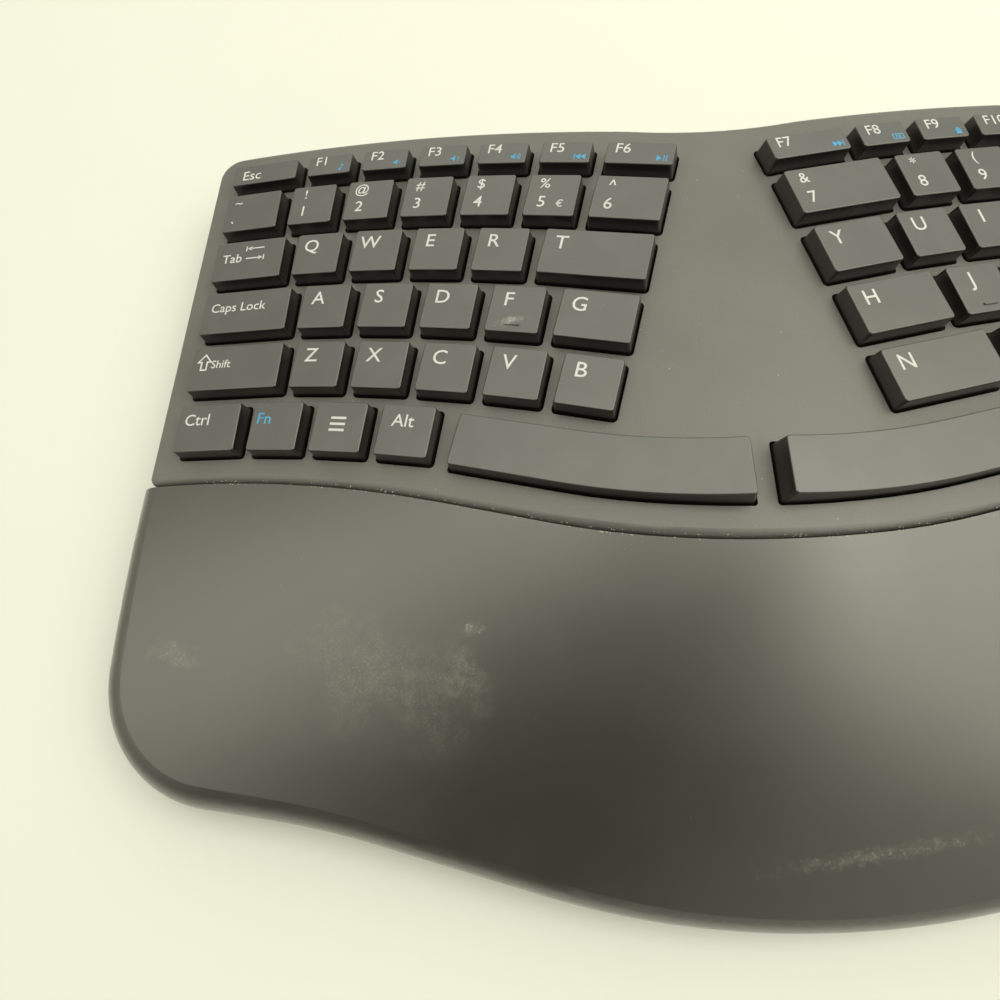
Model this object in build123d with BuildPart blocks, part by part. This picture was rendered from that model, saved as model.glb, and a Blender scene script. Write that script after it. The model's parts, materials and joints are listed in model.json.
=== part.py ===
"""Full-size ergonomic keyboard: a tented, split key deck with a domed palm rest.

Millimetres, +X to the user's right, +Y away from the user, +Z up.
The origin is the centre of the footprint, on the table.
"""
from build123d import *
import math
import os

os.makedirs("parts", exist_ok=True)

# Deck form
TENT_ANGLE = 7.9            # fall of each half away from the split line, degrees
RIDGE_HEIGHT = 43.0         # height over the table of the line where the two halves would meet
RIDGE_RADIUS = 200.0        # rounding of the ridge along the split line
VALLEY_RADIUS = 40.0        # rounding where the right half meets the level side deck

# Key fan: each row is an arc about one centre on the user's side
KEY_PITCH = 19.05
FAN_RADIUS = 518.0          # radius of the home row
FAN_TURN = 19.2             # slant of the rows at the split line, degrees
LEFT_END_TURN = 1.52        # slant of the home row where the left half ends
LEFT_LEAN = 2.35            # slant of the line that the left half's rows end on, and of the case's left side
RIGHT_END_TURN = -0.6       # slant of the rows where the right half ends
FUNCTION_ROW_STEP = 15.6    # from the number row to the function row
HOME_START = 26.2           # arc from the split line to the inner end of the home row
START_STEP = 1.1            # each row further back starts this much further out
MODIFIER_START = 68.0       # arc from the split line to the modifier keys
CLUSTER_GAP = 4.5           # between the right half, the navigation keys and the number pad

# Key caps
CAP_GAP = 4.3               # between the tops of neighbouring keys
CAP_DEPTH = 14.5            # front to back, at the top
FUNCTION_CAP_DEPTH = 7.8
CAP_PROUD = 4.5             # top of a key over the deck
CAP_HEIGHT = 6.6            # from the top to the foot of the skirt
CAP_FLARE = 0.5             # how far the foot of the skirt stands out past the top
CAP_WALL = 1.1
CAP_ROOF = 1.5
CAP_CORNER = 0.9
CAP_EDGE = 0.35             # rounding of the top edge
OPENING_CLEARANCE = 0.45    # from the foot of a skirt to its opening
KEY_TRAVEL = 2.5
STEM_RADIUS = 1.6
STEM_CLEARANCE = 0.25
GUIDE_WALL = 0.85
HOMING_BAR = (4.2, 0.7, 0.35)

# Space bars
SPACE_FRONT = 8.3           # from the seam to the front of a space bar's top
SPACE_DEPTH = 14.1
SPACE_INNER = 4.0           # from the split line to the left space bar's top
SPACE_INNER_RIGHT = 2.9     # and to the right one's
SPACE_STEM_SPREAD = 26.0    # from the middle stem to each outer one

# Case
DECK_THICKNESS = 2.2
CASE_WALL = 2.4
RIM_SIDE = 7.5              # from the last key's pitch cell to the case side
RIM_BACK = 9.8              # from the function keys' tops to the back edge
RIM_RADIUS = 2.0            # rounding of the case's top edge
BACK_CORNER = 8.0
BACK_DIP_RADIUS = 80.0      # rounding of the dip in the back edge at the split line
FRONT_CORNER = 2.5
SPLIT_HEIGHT = 6.0          # where the upper pieces meet the bottom case
FLOOR_HEIGHT = 1.5          # underside of the bottom case over the table
FLOOR_THICKNESS = 2.2
BASE_EDGE = 3.0             # rounding of the bottom edge
BASE_LAP = 6.0              # how far the wider base under the palm rest runs on behind the seam's ends
RIB_PLACES = (-140.0, -100.0, -62.0, -38.0, 45.0, 62.0, 114.0, 150.0, 196.0, 222.0, 270.0, 305.0)

# Seam between the case and the palm rest, a shallow smile
SEAM_FRONT = 48.4           # from the fan's datum to the seam at the split line
SEAM_ANGLE = 14.5
SEAM_INNER_RADIUS = 200.0
SEAM_STRAIGHT = 29.0
SEAM_LAND = 4.5             # level stretch at the case side
SEAM_GAP = 0.4
SEAM_STEP = 0.5             # the palm rest lies this much under the deck

# Palm rest
PALM_FRONT = 133.0          # from the fan's datum to the front edge at the split line
PALM_OVERHANG = 3.5         # past the case on each side
PALM_NOSE_RADIUS = 212.0
PALM_NOSE_ANGLE = 14.5
PALM_BEND_START = 90.0      # where the front edge starts to bend back
PALM_BEND_RADIUS = 250.0
PALM_SIDE_ANGLE = 7.0       # slant that is left of it before the left corner
PALM_CORNER = 38.0
PALM_SIDE_START = 138.0     # where the left front corner begins
PALM_LEVEL_RADIUS = 300.0
PALM_EDGE = 7.0             # rounding of the outer edge
PALM_WALL = 5.0
PALM_SKIN = 3.0
PALM_FRONT_HEIGHT = 15.5    # top surface at the front edge, at the split line
PALM_SIDE_HEIGHT = 13.5     # top surface at the front edge, at the sides
PALM_CROWN = 3.4            # swell of the top surface over a straight slope
PALM_SPANS = 24             # stretches of the top surface between its sections
PALM_MARGIN = 8.0           # how far the top surface is drawn past the sides
PALM_BACK_RUN = 12.0        # how far it runs on behind the seam's ends
PALM_NOSE_RUN = 12.0        # how far it runs on past the front edge

# Layers under the deck, each depth measured from the deck's surface
GUIDE_DEPTH = 5.1
GUIDE_THICKNESS = 1.6
GUIDE_RISE = 4.4            # guide tubes over the guide plate
DOME_HEIGHT = 2.2
DOME_RADIUS = 4.4
DOME_WALL = 1.3
SHEET_THICKNESS = 0.8
CIRCUIT_THICKNESS = 0.4
PLATE_THICKNESS = 0.8
LAYER_INSET = 8.8
RIB_THICKNESS = 1.6

# Screws and bosses
SCREW_RADIUS = 1.2
SCREW_DEPTH = 8.5           # bore of a post over the split height
SCREW_HEAD_RADIUS = 2.3
SCREW_SOCKET_RADIUS = 1.2
SCREW_HEAD_HEIGHT = 1.5
SCREW_BORE = 1.3
SCREW_CLEARANCE = 0.2
HEAD_SINK = 0.4             # head of a screw inside its counterbore
SCREW_END_GAP = 1.0         # from a screw's end to the bottom of its bore
POST_RADIUS = 2.6
BOSS_RADIUS = 3.6
POST_INSET = 5.5            # from the back edge to the middle of a post
POST_SIDE = 18.0            # from the case side to the outermost posts along the back
PALM_POST_INSET = 30.0      # from the palm rest's front edge to the middle of a post
LAYER_HOLE_CLEARANCE = 0.5

# Batteries and their door
CELL_RADIUS = 7.1
CELL_LENGTH = 50.0
CELL_SPACING = 15.2
CELL_PLAY = 0.5
CELL_NUB = (2.7, 1.0)
BAY_WALL = 1.6
BAY_CENTER_Y = 17.0
BAY_SPRING_SPACE = 3.5
DOOR_LEDGE = 4.0
DOOR_THICKNESS = 1.3
DOOR_CLEARANCE = 0.3
DOOR_TRAVEL = 6.0
DOOR_TONGUE = (2.4, 7.0, 0.7)
TONGUE_CLEARANCE = 0.15
GRIP_PITCH = 2.0
GRIP_COUNT = 4

# Power switch and controller board
SWITCH_X = 88.0
SWITCH_Y = 8.0
SWITCH_KNOB = (5.0, 4.4)
SWITCH_TRAVEL = 4.0
SWITCH_CLEARANCE = 0.25
SWITCH_FLANGE = (11.0, 8.0, 1.0)
SWITCH_PROUD = 0.6
SWITCH_BODY = (14.0, 8.0)
CHIP_SIZES = ((9.0, 9.0, 1.2), (6.0, 4.0, 1.0), (12.0, 3.0, 2.0))
BOARD_SIZE = (38.0, 62.0, 1.6)
BOARD_HEIGHT = 8.0
BOARD_CENTER_Y = 26.0

# Tilt legs
LEG_LENGTH = 22.0
LEG_WIDTH = 30.0
LEG_THICKNESS = 3.2
LEG_PIN_RADIUS = 1.1
LEG_PIN_REACH = 1.2
LEG_CLEARANCE = 0.35
LEG_WALL = 1.8
LEG_INSET = 24.0            # from the back edge to the hinge line
LEG_SIDE = 30.0             # from the case side to the leg's middle

# Feet
FOOT_SIZE = (20.0, 8.0)
FOOT_SEAT = 0.6
FOOT_EDGE = 0.4
FRONT_FOOT_X = (-120.0, 0.0, 120.0)
BACK_FOOT_X = (-70.0, 60.0, 235.0)
FOOT_INSET = 15.0           # from the palm rest's front edge to a foot
BACK_FOOT_INSET = 22.0      # from the back edge to a foot

SLOPE = math.radians(TENT_ANGLE)
CELL = KEY_PITCH
FULL_REACH = 400.0          # larger than the keyboard, for cuts that pass right through
FULL_HEIGHT = 80.0

# Rows of keys, from the split line outwards. The last key of each row runs on to the row's end.
ROW_RADII = {
    "function": FAN_RADIUS + 2 * KEY_PITCH + FUNCTION_ROW_STEP,
    "number": FAN_RADIUS + 2 * KEY_PITCH,
    "top": FAN_RADIUS + KEY_PITCH,
    "home": FAN_RADIUS,
    "bottom": FAN_RADIUS - KEY_PITCH,
    "modifier": FAN_RADIUS - 2 * KEY_PITCH,
}
ROW_STARTS = {
    "function": HOME_START + 3 * START_STEP,
    "number": HOME_START + 2 * START_STEP,
    "top": HOME_START + START_STEP,
    "home": HOME_START,
    "bottom": HOME_START - START_STEP,
    "modifier": MODIFIER_START,
}
LEFT_ROWS = {
    "function": [(f"f{i}", 23.5 if i == 6 else CELL) for i in range(6, 0, -1)] + [("esc", None)],
    "number": [(str(i), 24.0 if i == 6 else CELL) for i in range(6, 0, -1)] + [("tilde", None)],
    "top": [("t", 34.0), ("r", CELL), ("e", CELL), ("w", CELL), ("q", CELL), ("tab", None)],
    "home": [("g", 24.5), ("f", CELL), ("d", CELL), ("s", CELL), ("a", CELL), ("caps_lock", None)],
    "bottom": [("b", 19.5), ("v", CELL), ("c", CELL), ("x", CELL), ("z", CELL), ("shift", None)],
    "modifier": [("alt", CELL), ("menu", CELL), ("fn", CELL), ("ctrl", None)],
}
RIGHT_ROWS = {
    "function": [28.0, CELL, CELL, CELL, CELL, CELL, CELL, None],
    "number": [34.0, CELL, CELL, CELL, CELL, CELL, None],
    "top": [24.5, CELL, CELL, CELL, CELL, CELL, CELL, None],
    "home": [29.0, CELL, CELL, CELL, CELL, CELL, None],
    "bottom": [34.0, CELL, CELL, CELL, CELL, None],
    "modifier": [24.5, 24.5, 24.5, None],
}


def fan_place(radius, arc):
    """Deck position and slant of a point on the left half, an arc away from the split direction."""
    turn = FAN_TURN - math.degrees(arc / radius)
    across = radius * math.sin(math.radians(turn)) - FAN_RADIUS * math.sin(math.radians(FAN_TURN))
    away = radius * math.cos(math.radians(turn)) - FAN_RADIUS * math.cos(math.radians(FAN_TURN))
    return across, away, turn


def row_length(row, end_turn, lean):
    """Arc from the split direction to the end of a row.

    The rows end on a line with the given lean that passes the end of the home row.
    """
    off_center = FAN_RADIUS * math.sin(math.radians(end_turn - lean))
    end = math.radians(lean) + math.asin(off_center / ROW_RADII[row])
    return ROW_RADII[row] * (math.radians(FAN_TURN) - end)


def row_cells(row, widths, end_turn, lean):
    """Middle and width of each pitch cell along a row."""
    cells = []
    start = ROW_STARTS[row]
    for width in widths:
        cell = row_length(row, end_turn, lean) - start if width is None else width
        cells.append((start + cell / 2, cell))
        start += cell
    return cells


# Reaches of the object from the fan's datum, which lies on the split line
FAN_CENTER_X = -FAN_RADIUS * math.sin(math.radians(FAN_TURN)) * math.cos(SLOPE)
FAN_CENTER_Y = -FAN_RADIUS * math.cos(math.radians(FAN_TURN))
BACK_RADIUS = ROW_RADII["function"] + FUNCTION_CAP_DEPTH / 2 + RIM_BACK
BACK_REACH = BACK_RADIUS + FAN_CENTER_Y


HOME_LENGTH = row_length("home", LEFT_END_TURN, LEFT_LEAN)
LEFT_FAN_END = fan_place(FAN_RADIUS, HOME_LENGTH)[0] * math.cos(SLOPE)
LEFT_FAN_END_Y = fan_place(FAN_RADIUS, HOME_LENGTH)[1]


def left_side(y):
    """The case's left side, which follows the end of the rows."""
    return LEFT_FAN_END + (y - LEFT_FAN_END_Y) * math.tan(math.radians(LEFT_LEAN)) - RIM_SIDE


RIGHT_LENGTH = row_length("home", RIGHT_END_TURN, RIGHT_END_TURN)
RIGHT_FAN_END = -fan_place(FAN_RADIUS, RIGHT_LENGTH)[0] * math.cos(SLOPE)
VALLEY_X = RIGHT_FAN_END + CLUSTER_GAP / 2
NAVIGATION_X = RIGHT_FAN_END + CLUSTER_GAP
NUMBER_PAD_X = NAVIGATION_X + 3 * KEY_PITCH + CLUSTER_GAP
CASE_RIGHT = NUMBER_PAD_X + 4 * KEY_PITCH + RIM_SIDE
CASE_LEFT = -left_side(-SEAM_FRONT / 2)
PALM_LEFT = CASE_LEFT + PALM_OVERHANG
PALM_RIGHT = CASE_RIGHT + PALM_OVERHANG
SIDE_HEIGHT = RIDGE_HEIGHT - VALLEY_X * math.tan(SLOPE)
RIDGE_RUN = RIDGE_RADIUS * math.tan(SLOPE / 2)

# Reference planes. The datum is the point on the split line from which the fan is drawn.
DATUM_X = (PALM_LEFT - PALM_RIGHT) / 2
DATUM_Y = (PALM_FRONT - BACK_REACH) / 2
PLAN = Plane(origin=(DATUM_X, DATUM_Y, 0))
FRONT = Plane(origin=(DATUM_X, DATUM_Y, 0), x_dir=(1, 0, 0), z_dir=(0, -1, 0))
LEFT_DECK = Plane(
    origin=(DATUM_X, DATUM_Y, RIDGE_HEIGHT),
    x_dir=(math.cos(SLOPE), 0, math.sin(SLOPE)),
    z_dir=(-math.sin(SLOPE), 0, math.cos(SLOPE)),
)
RIGHT_DECK = Plane(
    origin=(DATUM_X, DATUM_Y, RIDGE_HEIGHT),
    x_dir=(math.cos(SLOPE), 0, -math.sin(SLOPE)),
    z_dir=(math.sin(SLOPE), 0, math.cos(SLOPE)),
)
SIDE_DECK = PLAN.offset(SIDE_HEIGHT)


def deck_profile(depth):
    """Front view of everything that lies a given depth or more under the deck."""
    ridge = (0, RIDGE_HEIGHT - depth / math.cos(SLOPE))
    valley = (VALLEY_X - depth * math.tan(SLOPE / 2), SIDE_HEIGHT - depth)
    with BuildSketch(FRONT) as profile:
        with BuildLine():
            Polyline(
                (-FULL_REACH, -FULL_HEIGHT),
                (-FULL_REACH, ridge[1] - FULL_REACH * math.tan(SLOPE)),
                ridge,
                valley,
                (FULL_REACH, valley[1]),
                (FULL_REACH, -FULL_HEIGHT),
                close=True,
            )
        make_face()
        corners = profile.vertices()
        fillet(corners.sort_by_distance(ridge)[0], RIDGE_RADIUS - depth)
        corners = profile.vertices()
        fillet(corners.sort_by_distance(valley)[0], VALLEY_RADIUS + depth)
    return profile.sketch


def seam_side(side):
    """Half of the seam, from the split line to the case side. Used inside a BuildLine block."""
    outer_run = CASE_LEFT - SEAM_LAND
    outer_run -= SEAM_INNER_RADIUS * math.sin(math.radians(SEAM_ANGLE))
    outer_run -= SEAM_STRAIGHT * math.cos(math.radians(SEAM_ANGLE))
    outer_radius = outer_run / math.sin(math.radians(SEAM_ANGLE))
    inner = JernArc((0, -SEAM_FRONT), (side, 0), SEAM_INNER_RADIUS, side * SEAM_ANGLE)
    straight = Line(inner @ 1, inner @ 1 + (inner % 1) * SEAM_STRAIGHT)
    outer = JernArc(straight @ 1, straight % 1, outer_radius, -side * SEAM_ANGLE)
    return outer @ 1


def back_y(x, inset=0):
    """Back edge, drawn in by an inset: an arc about each half's fan, then level past the right crest."""
    reach = min(abs(x), -FAN_CENTER_X)
    return FAN_CENTER_Y + math.sqrt((BACK_RADIUS - inset) ** 2 - (-reach - FAN_CENTER_X) ** 2)


def case_plan(inset, holes=()):
    """The deck seen from above, drawn in by an inset, with round holes for the screw posts."""
    back_left = left_side(BACK_REACH)
    crest = -FAN_CENTER_X
    with BuildSketch(PLAN) as plan:
        with BuildLine():
            left = seam_side(-1)
            right = seam_side(1)
            Polyline(left, (-CASE_LEFT, left.Y), (back_left, back_y(back_left)))
            ThreePointArc(
                (back_left, back_y(back_left)), (back_left / 2, back_y(back_left / 2)), (0, back_y(0))
            )
            ThreePointArc((0, back_y(0)), (crest / 2, back_y(crest / 2)), (crest, BACK_REACH))
            Polyline((crest, BACK_REACH), (CASE_RIGHT, BACK_REACH), (CASE_RIGHT, right.Y), right)
        make_face()
        if inset:
            offset(amount=-inset, kind=Kind.INTERSECTION)
        rounded = (
            ((back_left, back_y(back_left)), BACK_CORNER - inset),
            ((CASE_RIGHT, BACK_REACH), BACK_CORNER - inset),
            ((0, back_y(0)), BACK_DIP_RADIUS + inset),
            ((-CASE_LEFT, left.Y), FRONT_CORNER - inset),
            ((CASE_RIGHT, right.Y), FRONT_CORNER - inset),
        )
        for corner, radius in rounded:
            if radius > 0:
                fillet(plan.vertices().sort_by_distance(corner)[0], radius)
        if holes:
            with Locations(*holes):
                Circle(POST_RADIUS + LAYER_HOLE_CLEARANCE, mode=Mode.SUBTRACT)
    return plan.sketch


def seam_end_y():
    """Place up the plan of the seam's level stretch at the case side."""
    with BuildLine(mode=Mode.PRIVATE):
        end = seam_side(-1)
    return end.Y


def palm_plan(inset, gap):
    """The palm rest seen from above, drawn in by an inset, with the deck's area behind the seam."""
    back = seam_end_y() - gap
    nose_turn = math.radians(PALM_NOSE_ANGLE)
    side_turn = math.radians(PALM_SIDE_ANGLE)
    with BuildSketch(PLAN) as plan:
        with BuildLine():
            nose = JernArc((0, -PALM_FRONT), (-1, 0), PALM_NOSE_RADIUS, -PALM_NOSE_ANGLE)
            run = (PALM_BEND_START - PALM_NOSE_RADIUS * math.sin(nose_turn)) / math.cos(nose_turn)
            slant = Line(nose @ 1, nose @ 1 + (nose % 1) * run)
            bend = JernArc(slant @ 1, slant % 1, PALM_BEND_RADIUS, PALM_NOSE_ANGLE - PALM_SIDE_ANGLE)
            side_run = (PALM_SIDE_START + (bend @ 1).X) / math.cos(side_turn)
            side = Line(bend @ 1, bend @ 1 + (bend % 1) * side_run)
            corner_radius = (PALM_LEFT - PALM_SIDE_START) / (1 - math.sin(side_turn))
            corner = JernArc(side @ 1, side % 1, corner_radius, PALM_SIDE_ANGLE - 90)
            right_nose = JernArc((0, -PALM_FRONT), (1, 0), PALM_NOSE_RADIUS, PALM_NOSE_ANGLE)
            right_slant = Line(right_nose @ 1, right_nose @ 1 + (right_nose % 1) * run)
            level = JernArc(right_slant @ 1, right_slant % 1, PALM_LEVEL_RADIUS, -PALM_NOSE_ANGLE)
            far_corner = (PALM_RIGHT, (level @ 1).Y)
            Polyline(level @ 1, far_corner, (PALM_RIGHT, back), (-PALM_LEFT, back), corner @ 1)
        make_face()
        fillet(plan.vertices().sort_by_distance(far_corner)[0], PALM_CORNER)
        if inset:
            offset(amount=-inset)
    return plan.sketch


def under_deck(depth, plan, floor):
    """Solid that stands on a plan outline and ends a given depth under the deck."""
    profile = deck_profile(depth)
    with BuildPart() as body:
        extrude(to_extrude=profile, amount=FULL_REACH, both=True)
        extrude(to_extrude=plan.moved(Location((0, 0, floor))), amount=FULL_HEIGHT, mode=Mode.INTERSECT)
    return body.part


def deck_height(x):
    """Height of the deck's surface over the table, at a distance from the split line."""
    if x > VALLEY_X:
        return SIDE_HEIGHT
    if abs(x) < RIDGE_RUN * math.cos(SLOPE):
        center = RIDGE_HEIGHT - RIDGE_RADIUS / math.cos(SLOPE)
        return center + math.sqrt(RIDGE_RADIUS**2 - x**2)
    return RIDGE_HEIGHT - abs(x) * math.tan(SLOPE)


# Even steps, because a surface drawn through uneven ones swings between its sections
PALM_STEP = (PALM_LEFT + PALM_RIGHT + 2 * PALM_MARGIN) / PALM_SPANS
PALM_STATIONS = [step * PALM_STEP - PALM_LEFT - PALM_MARGIN for step in range(PALM_SPANS + 1)]


def palm_solid(drop, plan, floor):
    """Solid under the palm rest's swelling top, lowered by a drop, on a plan outline."""
    back = seam_end_y()
    with BuildPart() as body:
        for x in PALM_STATIONS:
            swing = min(abs(x) / (CASE_LEFT - SEAM_LAND), 1.0)
            blend = (1 - math.cos(math.pi * swing)) / 2
            seam = (SEAM_FRONT + back) * blend - SEAM_FRONT
            seam_height = deck_height(x) - SEAM_STEP - drop
            nose_height = PALM_FRONT_HEIGHT + (PALM_SIDE_HEIGHT - PALM_FRONT_HEIGHT) * blend - drop
            middle = (seam - PALM_FRONT) / 2
            middle_height = (seam_height + nose_height) / 2 + PALM_CROWN
            plane = Plane(origin=(DATUM_X + x, DATUM_Y, 0), x_dir=(0, 1, 0), z_dir=(1, 0, 0))
            with BuildSketch(plane):
                with BuildLine():
                    top = Spline((-PALM_FRONT, nose_height), (middle, middle_height), (seam, seam_height))
                    nose = Line(top @ 0, top @ 0 - (top % 0) * PALM_NOSE_RUN)
                    tail = Line(top @ 1, top @ 1 + (top % 1) * (back + PALM_BACK_RUN - seam))
                    Polyline(nose @ 1, ((nose @ 1).X, floor - 1), ((tail @ 1).X, floor - 1), tail @ 1)
                make_face()
        loft()
        extrude(to_extrude=plan.moved(Location((0, 0, floor))), amount=FULL_HEIGHT, mode=Mode.INTERSECT)
    return body.part


def key_plane(deck, across, away, turn):
    """Plane on the deck's surface at the middle of a key, turned with the key."""
    return Plane(deck * Location((across, away, 0), (0, 0, turn)))


def fan_planes(side, row, widths, end_turn, lean):
    """Plane and pitch cell of each key along a row of one half, from the split line outwards."""
    deck = LEFT_DECK if side < 0 else RIGHT_DECK
    planes = []
    for middle, cell in row_cells(row, widths, end_turn, lean):
        across, away, turn = fan_place(ROW_RADII[row], middle)
        planes.append((key_plane(deck, -side * across, away, side * turn), cell))
    return planes


def cap_depth(row):
    """Front to back size of a key's top."""
    return FUNCTION_CAP_DEPTH if row == "function" else CAP_DEPTH


def row_y(row):
    """Place up the plan of a row on the level side deck, level with the fan's crest."""
    return ROW_RADII[row] + FAN_CENTER_Y


def side_key(x, row, across=1, rows_down=0):
    """A key on the level side deck: plane, top width and top depth, over whole pitch cells."""
    depth = cap_depth(row) + rows_down * KEY_PITCH
    y = row_y(row) - rows_down * KEY_PITCH / 2
    plane = key_plane(SIDE_DECK, x + across * KEY_PITCH / 2, y, 0)
    return plane, across * KEY_PITCH - CAP_GAP, depth


# Every key: plane, top width and top depth
LEFT_KEYS = {}
for row, keys in LEFT_ROWS.items():
    placed = fan_planes(-1, row, [width for _, width in keys], LEFT_END_TURN, LEFT_LEAN)
    for (name, _), (plane, cell) in zip(keys, placed):
        LEFT_KEYS[name] = (plane, cell - CAP_GAP, cap_depth(row))

RIGHT_KEYS = {}
for row, widths in RIGHT_ROWS.items():
    placed = fan_planes(1, row, widths, RIGHT_END_TURN, RIGHT_END_TURN)
    RIGHT_KEYS[row] = [(plane, cell - CAP_GAP, cap_depth(row)) for plane, cell in placed]

NAVIGATION_KEYS = []
for row in ("function", "number", "top"):
    for column in range(3):
        NAVIGATION_KEYS.append(side_key(NAVIGATION_X + column * KEY_PITCH, row))
NAVIGATION_KEYS.append(side_key(NAVIGATION_X + KEY_PITCH, "bottom"))
for column in range(3):
    NAVIGATION_KEYS.append(side_key(NAVIGATION_X + column * KEY_PITCH, "modifier"))

NUMBER_PAD_KEYS = []
for row in ("function", "number"):
    for column in range(4):
        NUMBER_PAD_KEYS.append(side_key(NUMBER_PAD_X + column * KEY_PITCH, row))
for row in ("top", "home", "bottom"):
    for column in range(3):
        NUMBER_PAD_KEYS.append(side_key(NUMBER_PAD_X + column * KEY_PITCH, row))
NUMBER_PAD_KEYS.append(side_key(NUMBER_PAD_X, "modifier", across=2))
NUMBER_PAD_KEYS.append(side_key(NUMBER_PAD_X + 2 * KEY_PITCH, "modifier"))
for row in ("top", "bottom"):
    NUMBER_PAD_KEYS.append(side_key(NUMBER_PAD_X + 3 * KEY_PITCH, row, rows_down=1))

PLAIN_KEYS = list(LEFT_KEYS.values()) + NAVIGATION_KEYS + NUMBER_PAD_KEYS
for keys in RIGHT_KEYS.values():
    PLAIN_KEYS += keys


def space_point(arc, side):
    """Point along the middle of a space bar, at an arc from the split line measured on the seam."""
    middle = SPACE_FRONT + SPACE_DEPTH / 2
    angle = min(arc / SEAM_INNER_RADIUS, math.radians(SEAM_ANGLE))
    past = arc - angle * SEAM_INNER_RADIUS
    radius = SEAM_INNER_RADIUS - middle
    x = radius * math.sin(angle) + past * math.cos(angle)
    y = SEAM_INNER_RADIUS - SEAM_FRONT - radius * math.cos(angle) + past * math.sin(angle)
    return side * x, y


SPACE_MIDDLE = (SPACE_INNER + SEAM_INNER_RADIUS * math.radians(SEAM_ANGLE) + SEAM_STRAIGHT) / 2
SPACE_STEMS = []
SPACE_DOMES = []
for side, deck in ((-1, LEFT_DECK), (1, RIGHT_DECK)):
    for step in (-1, 0, 1):
        across, away = space_point(SPACE_MIDDLE + step * SPACE_STEM_SPREAD, side)
        SPACE_STEMS.append((side, key_plane(deck, across, away, 0)))
    across, away = space_point(SPACE_MIDDLE, side)
    SPACE_DOMES.append(key_plane(deck, across, away, 0))

STEM_PLANES = [plane for plane, _, _ in PLAIN_KEYS] + [plane for _, plane in SPACE_STEMS]
DOME_PLANES = [plane for plane, _, _ in PLAIN_KEYS] + SPACE_DOMES

CAP_FOOT = CAP_PROUD - CAP_HEIGHT
SHEET_DEPTH = GUIDE_DEPTH + GUIDE_THICKNESS + DOME_HEIGHT
STEM_END = SHEET_DEPTH - KEY_TRAVEL - STEM_CLEARANCE


def space_outline(plane, side, grow):
    """A space bar seen square to its deck, a band that runs along the seam, grown all round."""
    inner = SPACE_INNER if side < 0 else SPACE_INNER_RIGHT
    with BuildSketch(plane) as band:
        with BuildLine():
            ends = []
            for distance in (SPACE_FRONT - grow, SPACE_FRONT + SPACE_DEPTH + grow):
                start = (0, distance - SEAM_FRONT)
                arc = JernArc(start, (side, 0), SEAM_INNER_RADIUS - distance, side * SEAM_ANGLE)
                run = Line(arc @ 1, arc @ 1 + (arc % 1) * (SEAM_STRAIGHT + grow))
                ends.append(run @ 1)
            Line(ends[0], ends[1])
            Line((0, SPACE_FRONT - grow - SEAM_FRONT), (0, SPACE_FRONT + SPACE_DEPTH + grow - SEAM_FRONT))
        make_face()
        with Locations((0, SPACE_FRONT + SPACE_DEPTH / 2 - SEAM_FRONT)):
            Rectangle(2 * (inner - grow), 4 * SPACE_DEPTH, mode=Mode.SUBTRACT)
        corners = band.vertices().sort_by(Axis.X)
        fillet(corners[:2] + corners[-2:], CAP_CORNER)
    return band.sketch


def make_cap(plane, width, depth, homing=False):
    """A key cap: a hollow, slightly spreading box with a stem under its roof."""
    with BuildPart() as cap:
        with BuildSketch(plane.offset(CAP_FOOT)):
            RectangleRounded(width + 2 * CAP_FLARE, depth + 2 * CAP_FLARE, CAP_CORNER)
        with BuildSketch(plane.offset(CAP_PROUD)):
            RectangleRounded(width, depth, CAP_CORNER)
        loft(ruled=True)
        top = cap.faces().sort_by(Axis(plane.origin, plane.z_dir))[-1]
        fillet(top.edges(), CAP_EDGE)
        with BuildSketch(plane.offset(CAP_FOOT)):
            Rectangle(width + 2 * (CAP_FLARE - CAP_WALL), depth + 2 * (CAP_FLARE - CAP_WALL))
        extrude(amount=CAP_HEIGHT - CAP_ROOF, mode=Mode.SUBTRACT)
        with BuildSketch(plane.offset(-STEM_END)):
            Circle(STEM_RADIUS)
        extrude(amount=STEM_END + CAP_PROUD - CAP_ROOF)
        if homing:
            with BuildSketch(plane.offset(CAP_PROUD)):
                with Locations((0, -depth / 3)):
                    SlotOverall(HOMING_BAR[0], HOMING_BAR[1])
            extrude(amount=HOMING_BAR[2])
    return cap.part


def make_space_bar(deck, side):
    """A curved space bar with three stems."""
    foot = space_outline(deck.offset(CAP_FOOT), side, CAP_FLARE)
    crown = space_outline(deck.offset(CAP_PROUD), side, 0)
    hollow = space_outline(deck.offset(CAP_FOOT), side, CAP_FLARE - CAP_WALL)
    with BuildPart() as bar:
        loft([foot, crown], ruled=True)
        top = bar.faces().sort_by(Axis(deck.origin, deck.z_dir))[-1]
        fillet(top.edges(), CAP_EDGE)
        extrude(to_extrude=hollow, amount=CAP_HEIGHT - CAP_ROOF, dir=deck.z_dir, mode=Mode.SUBTRACT)
        for stem_side, plane in SPACE_STEMS:
            if stem_side == side:
                with BuildSketch(plane.offset(-STEM_END)):
                    Circle(STEM_RADIUS)
        extrude(amount=STEM_END + CAP_PROUD - CAP_ROOF)
    return bar.part


def export(part, name):
    """Name one finished piece and write it."""
    part.label = name
    export_step(part, f"parts/{name}.step")
    print(name, len(part.solids()), round(part.volume, 1))


def export_group(keys, name, homing=None):
    """Write several keys that share a node, each its own solid. One of them may be the homing key."""
    caps = []
    for index, (plane, width, depth) in enumerate(keys):
        caps.append(make_cap(plane, width, depth, homing=index == homing))
    with BuildPart() as group:
        add(caps)
    export(group.part, name)


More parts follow.
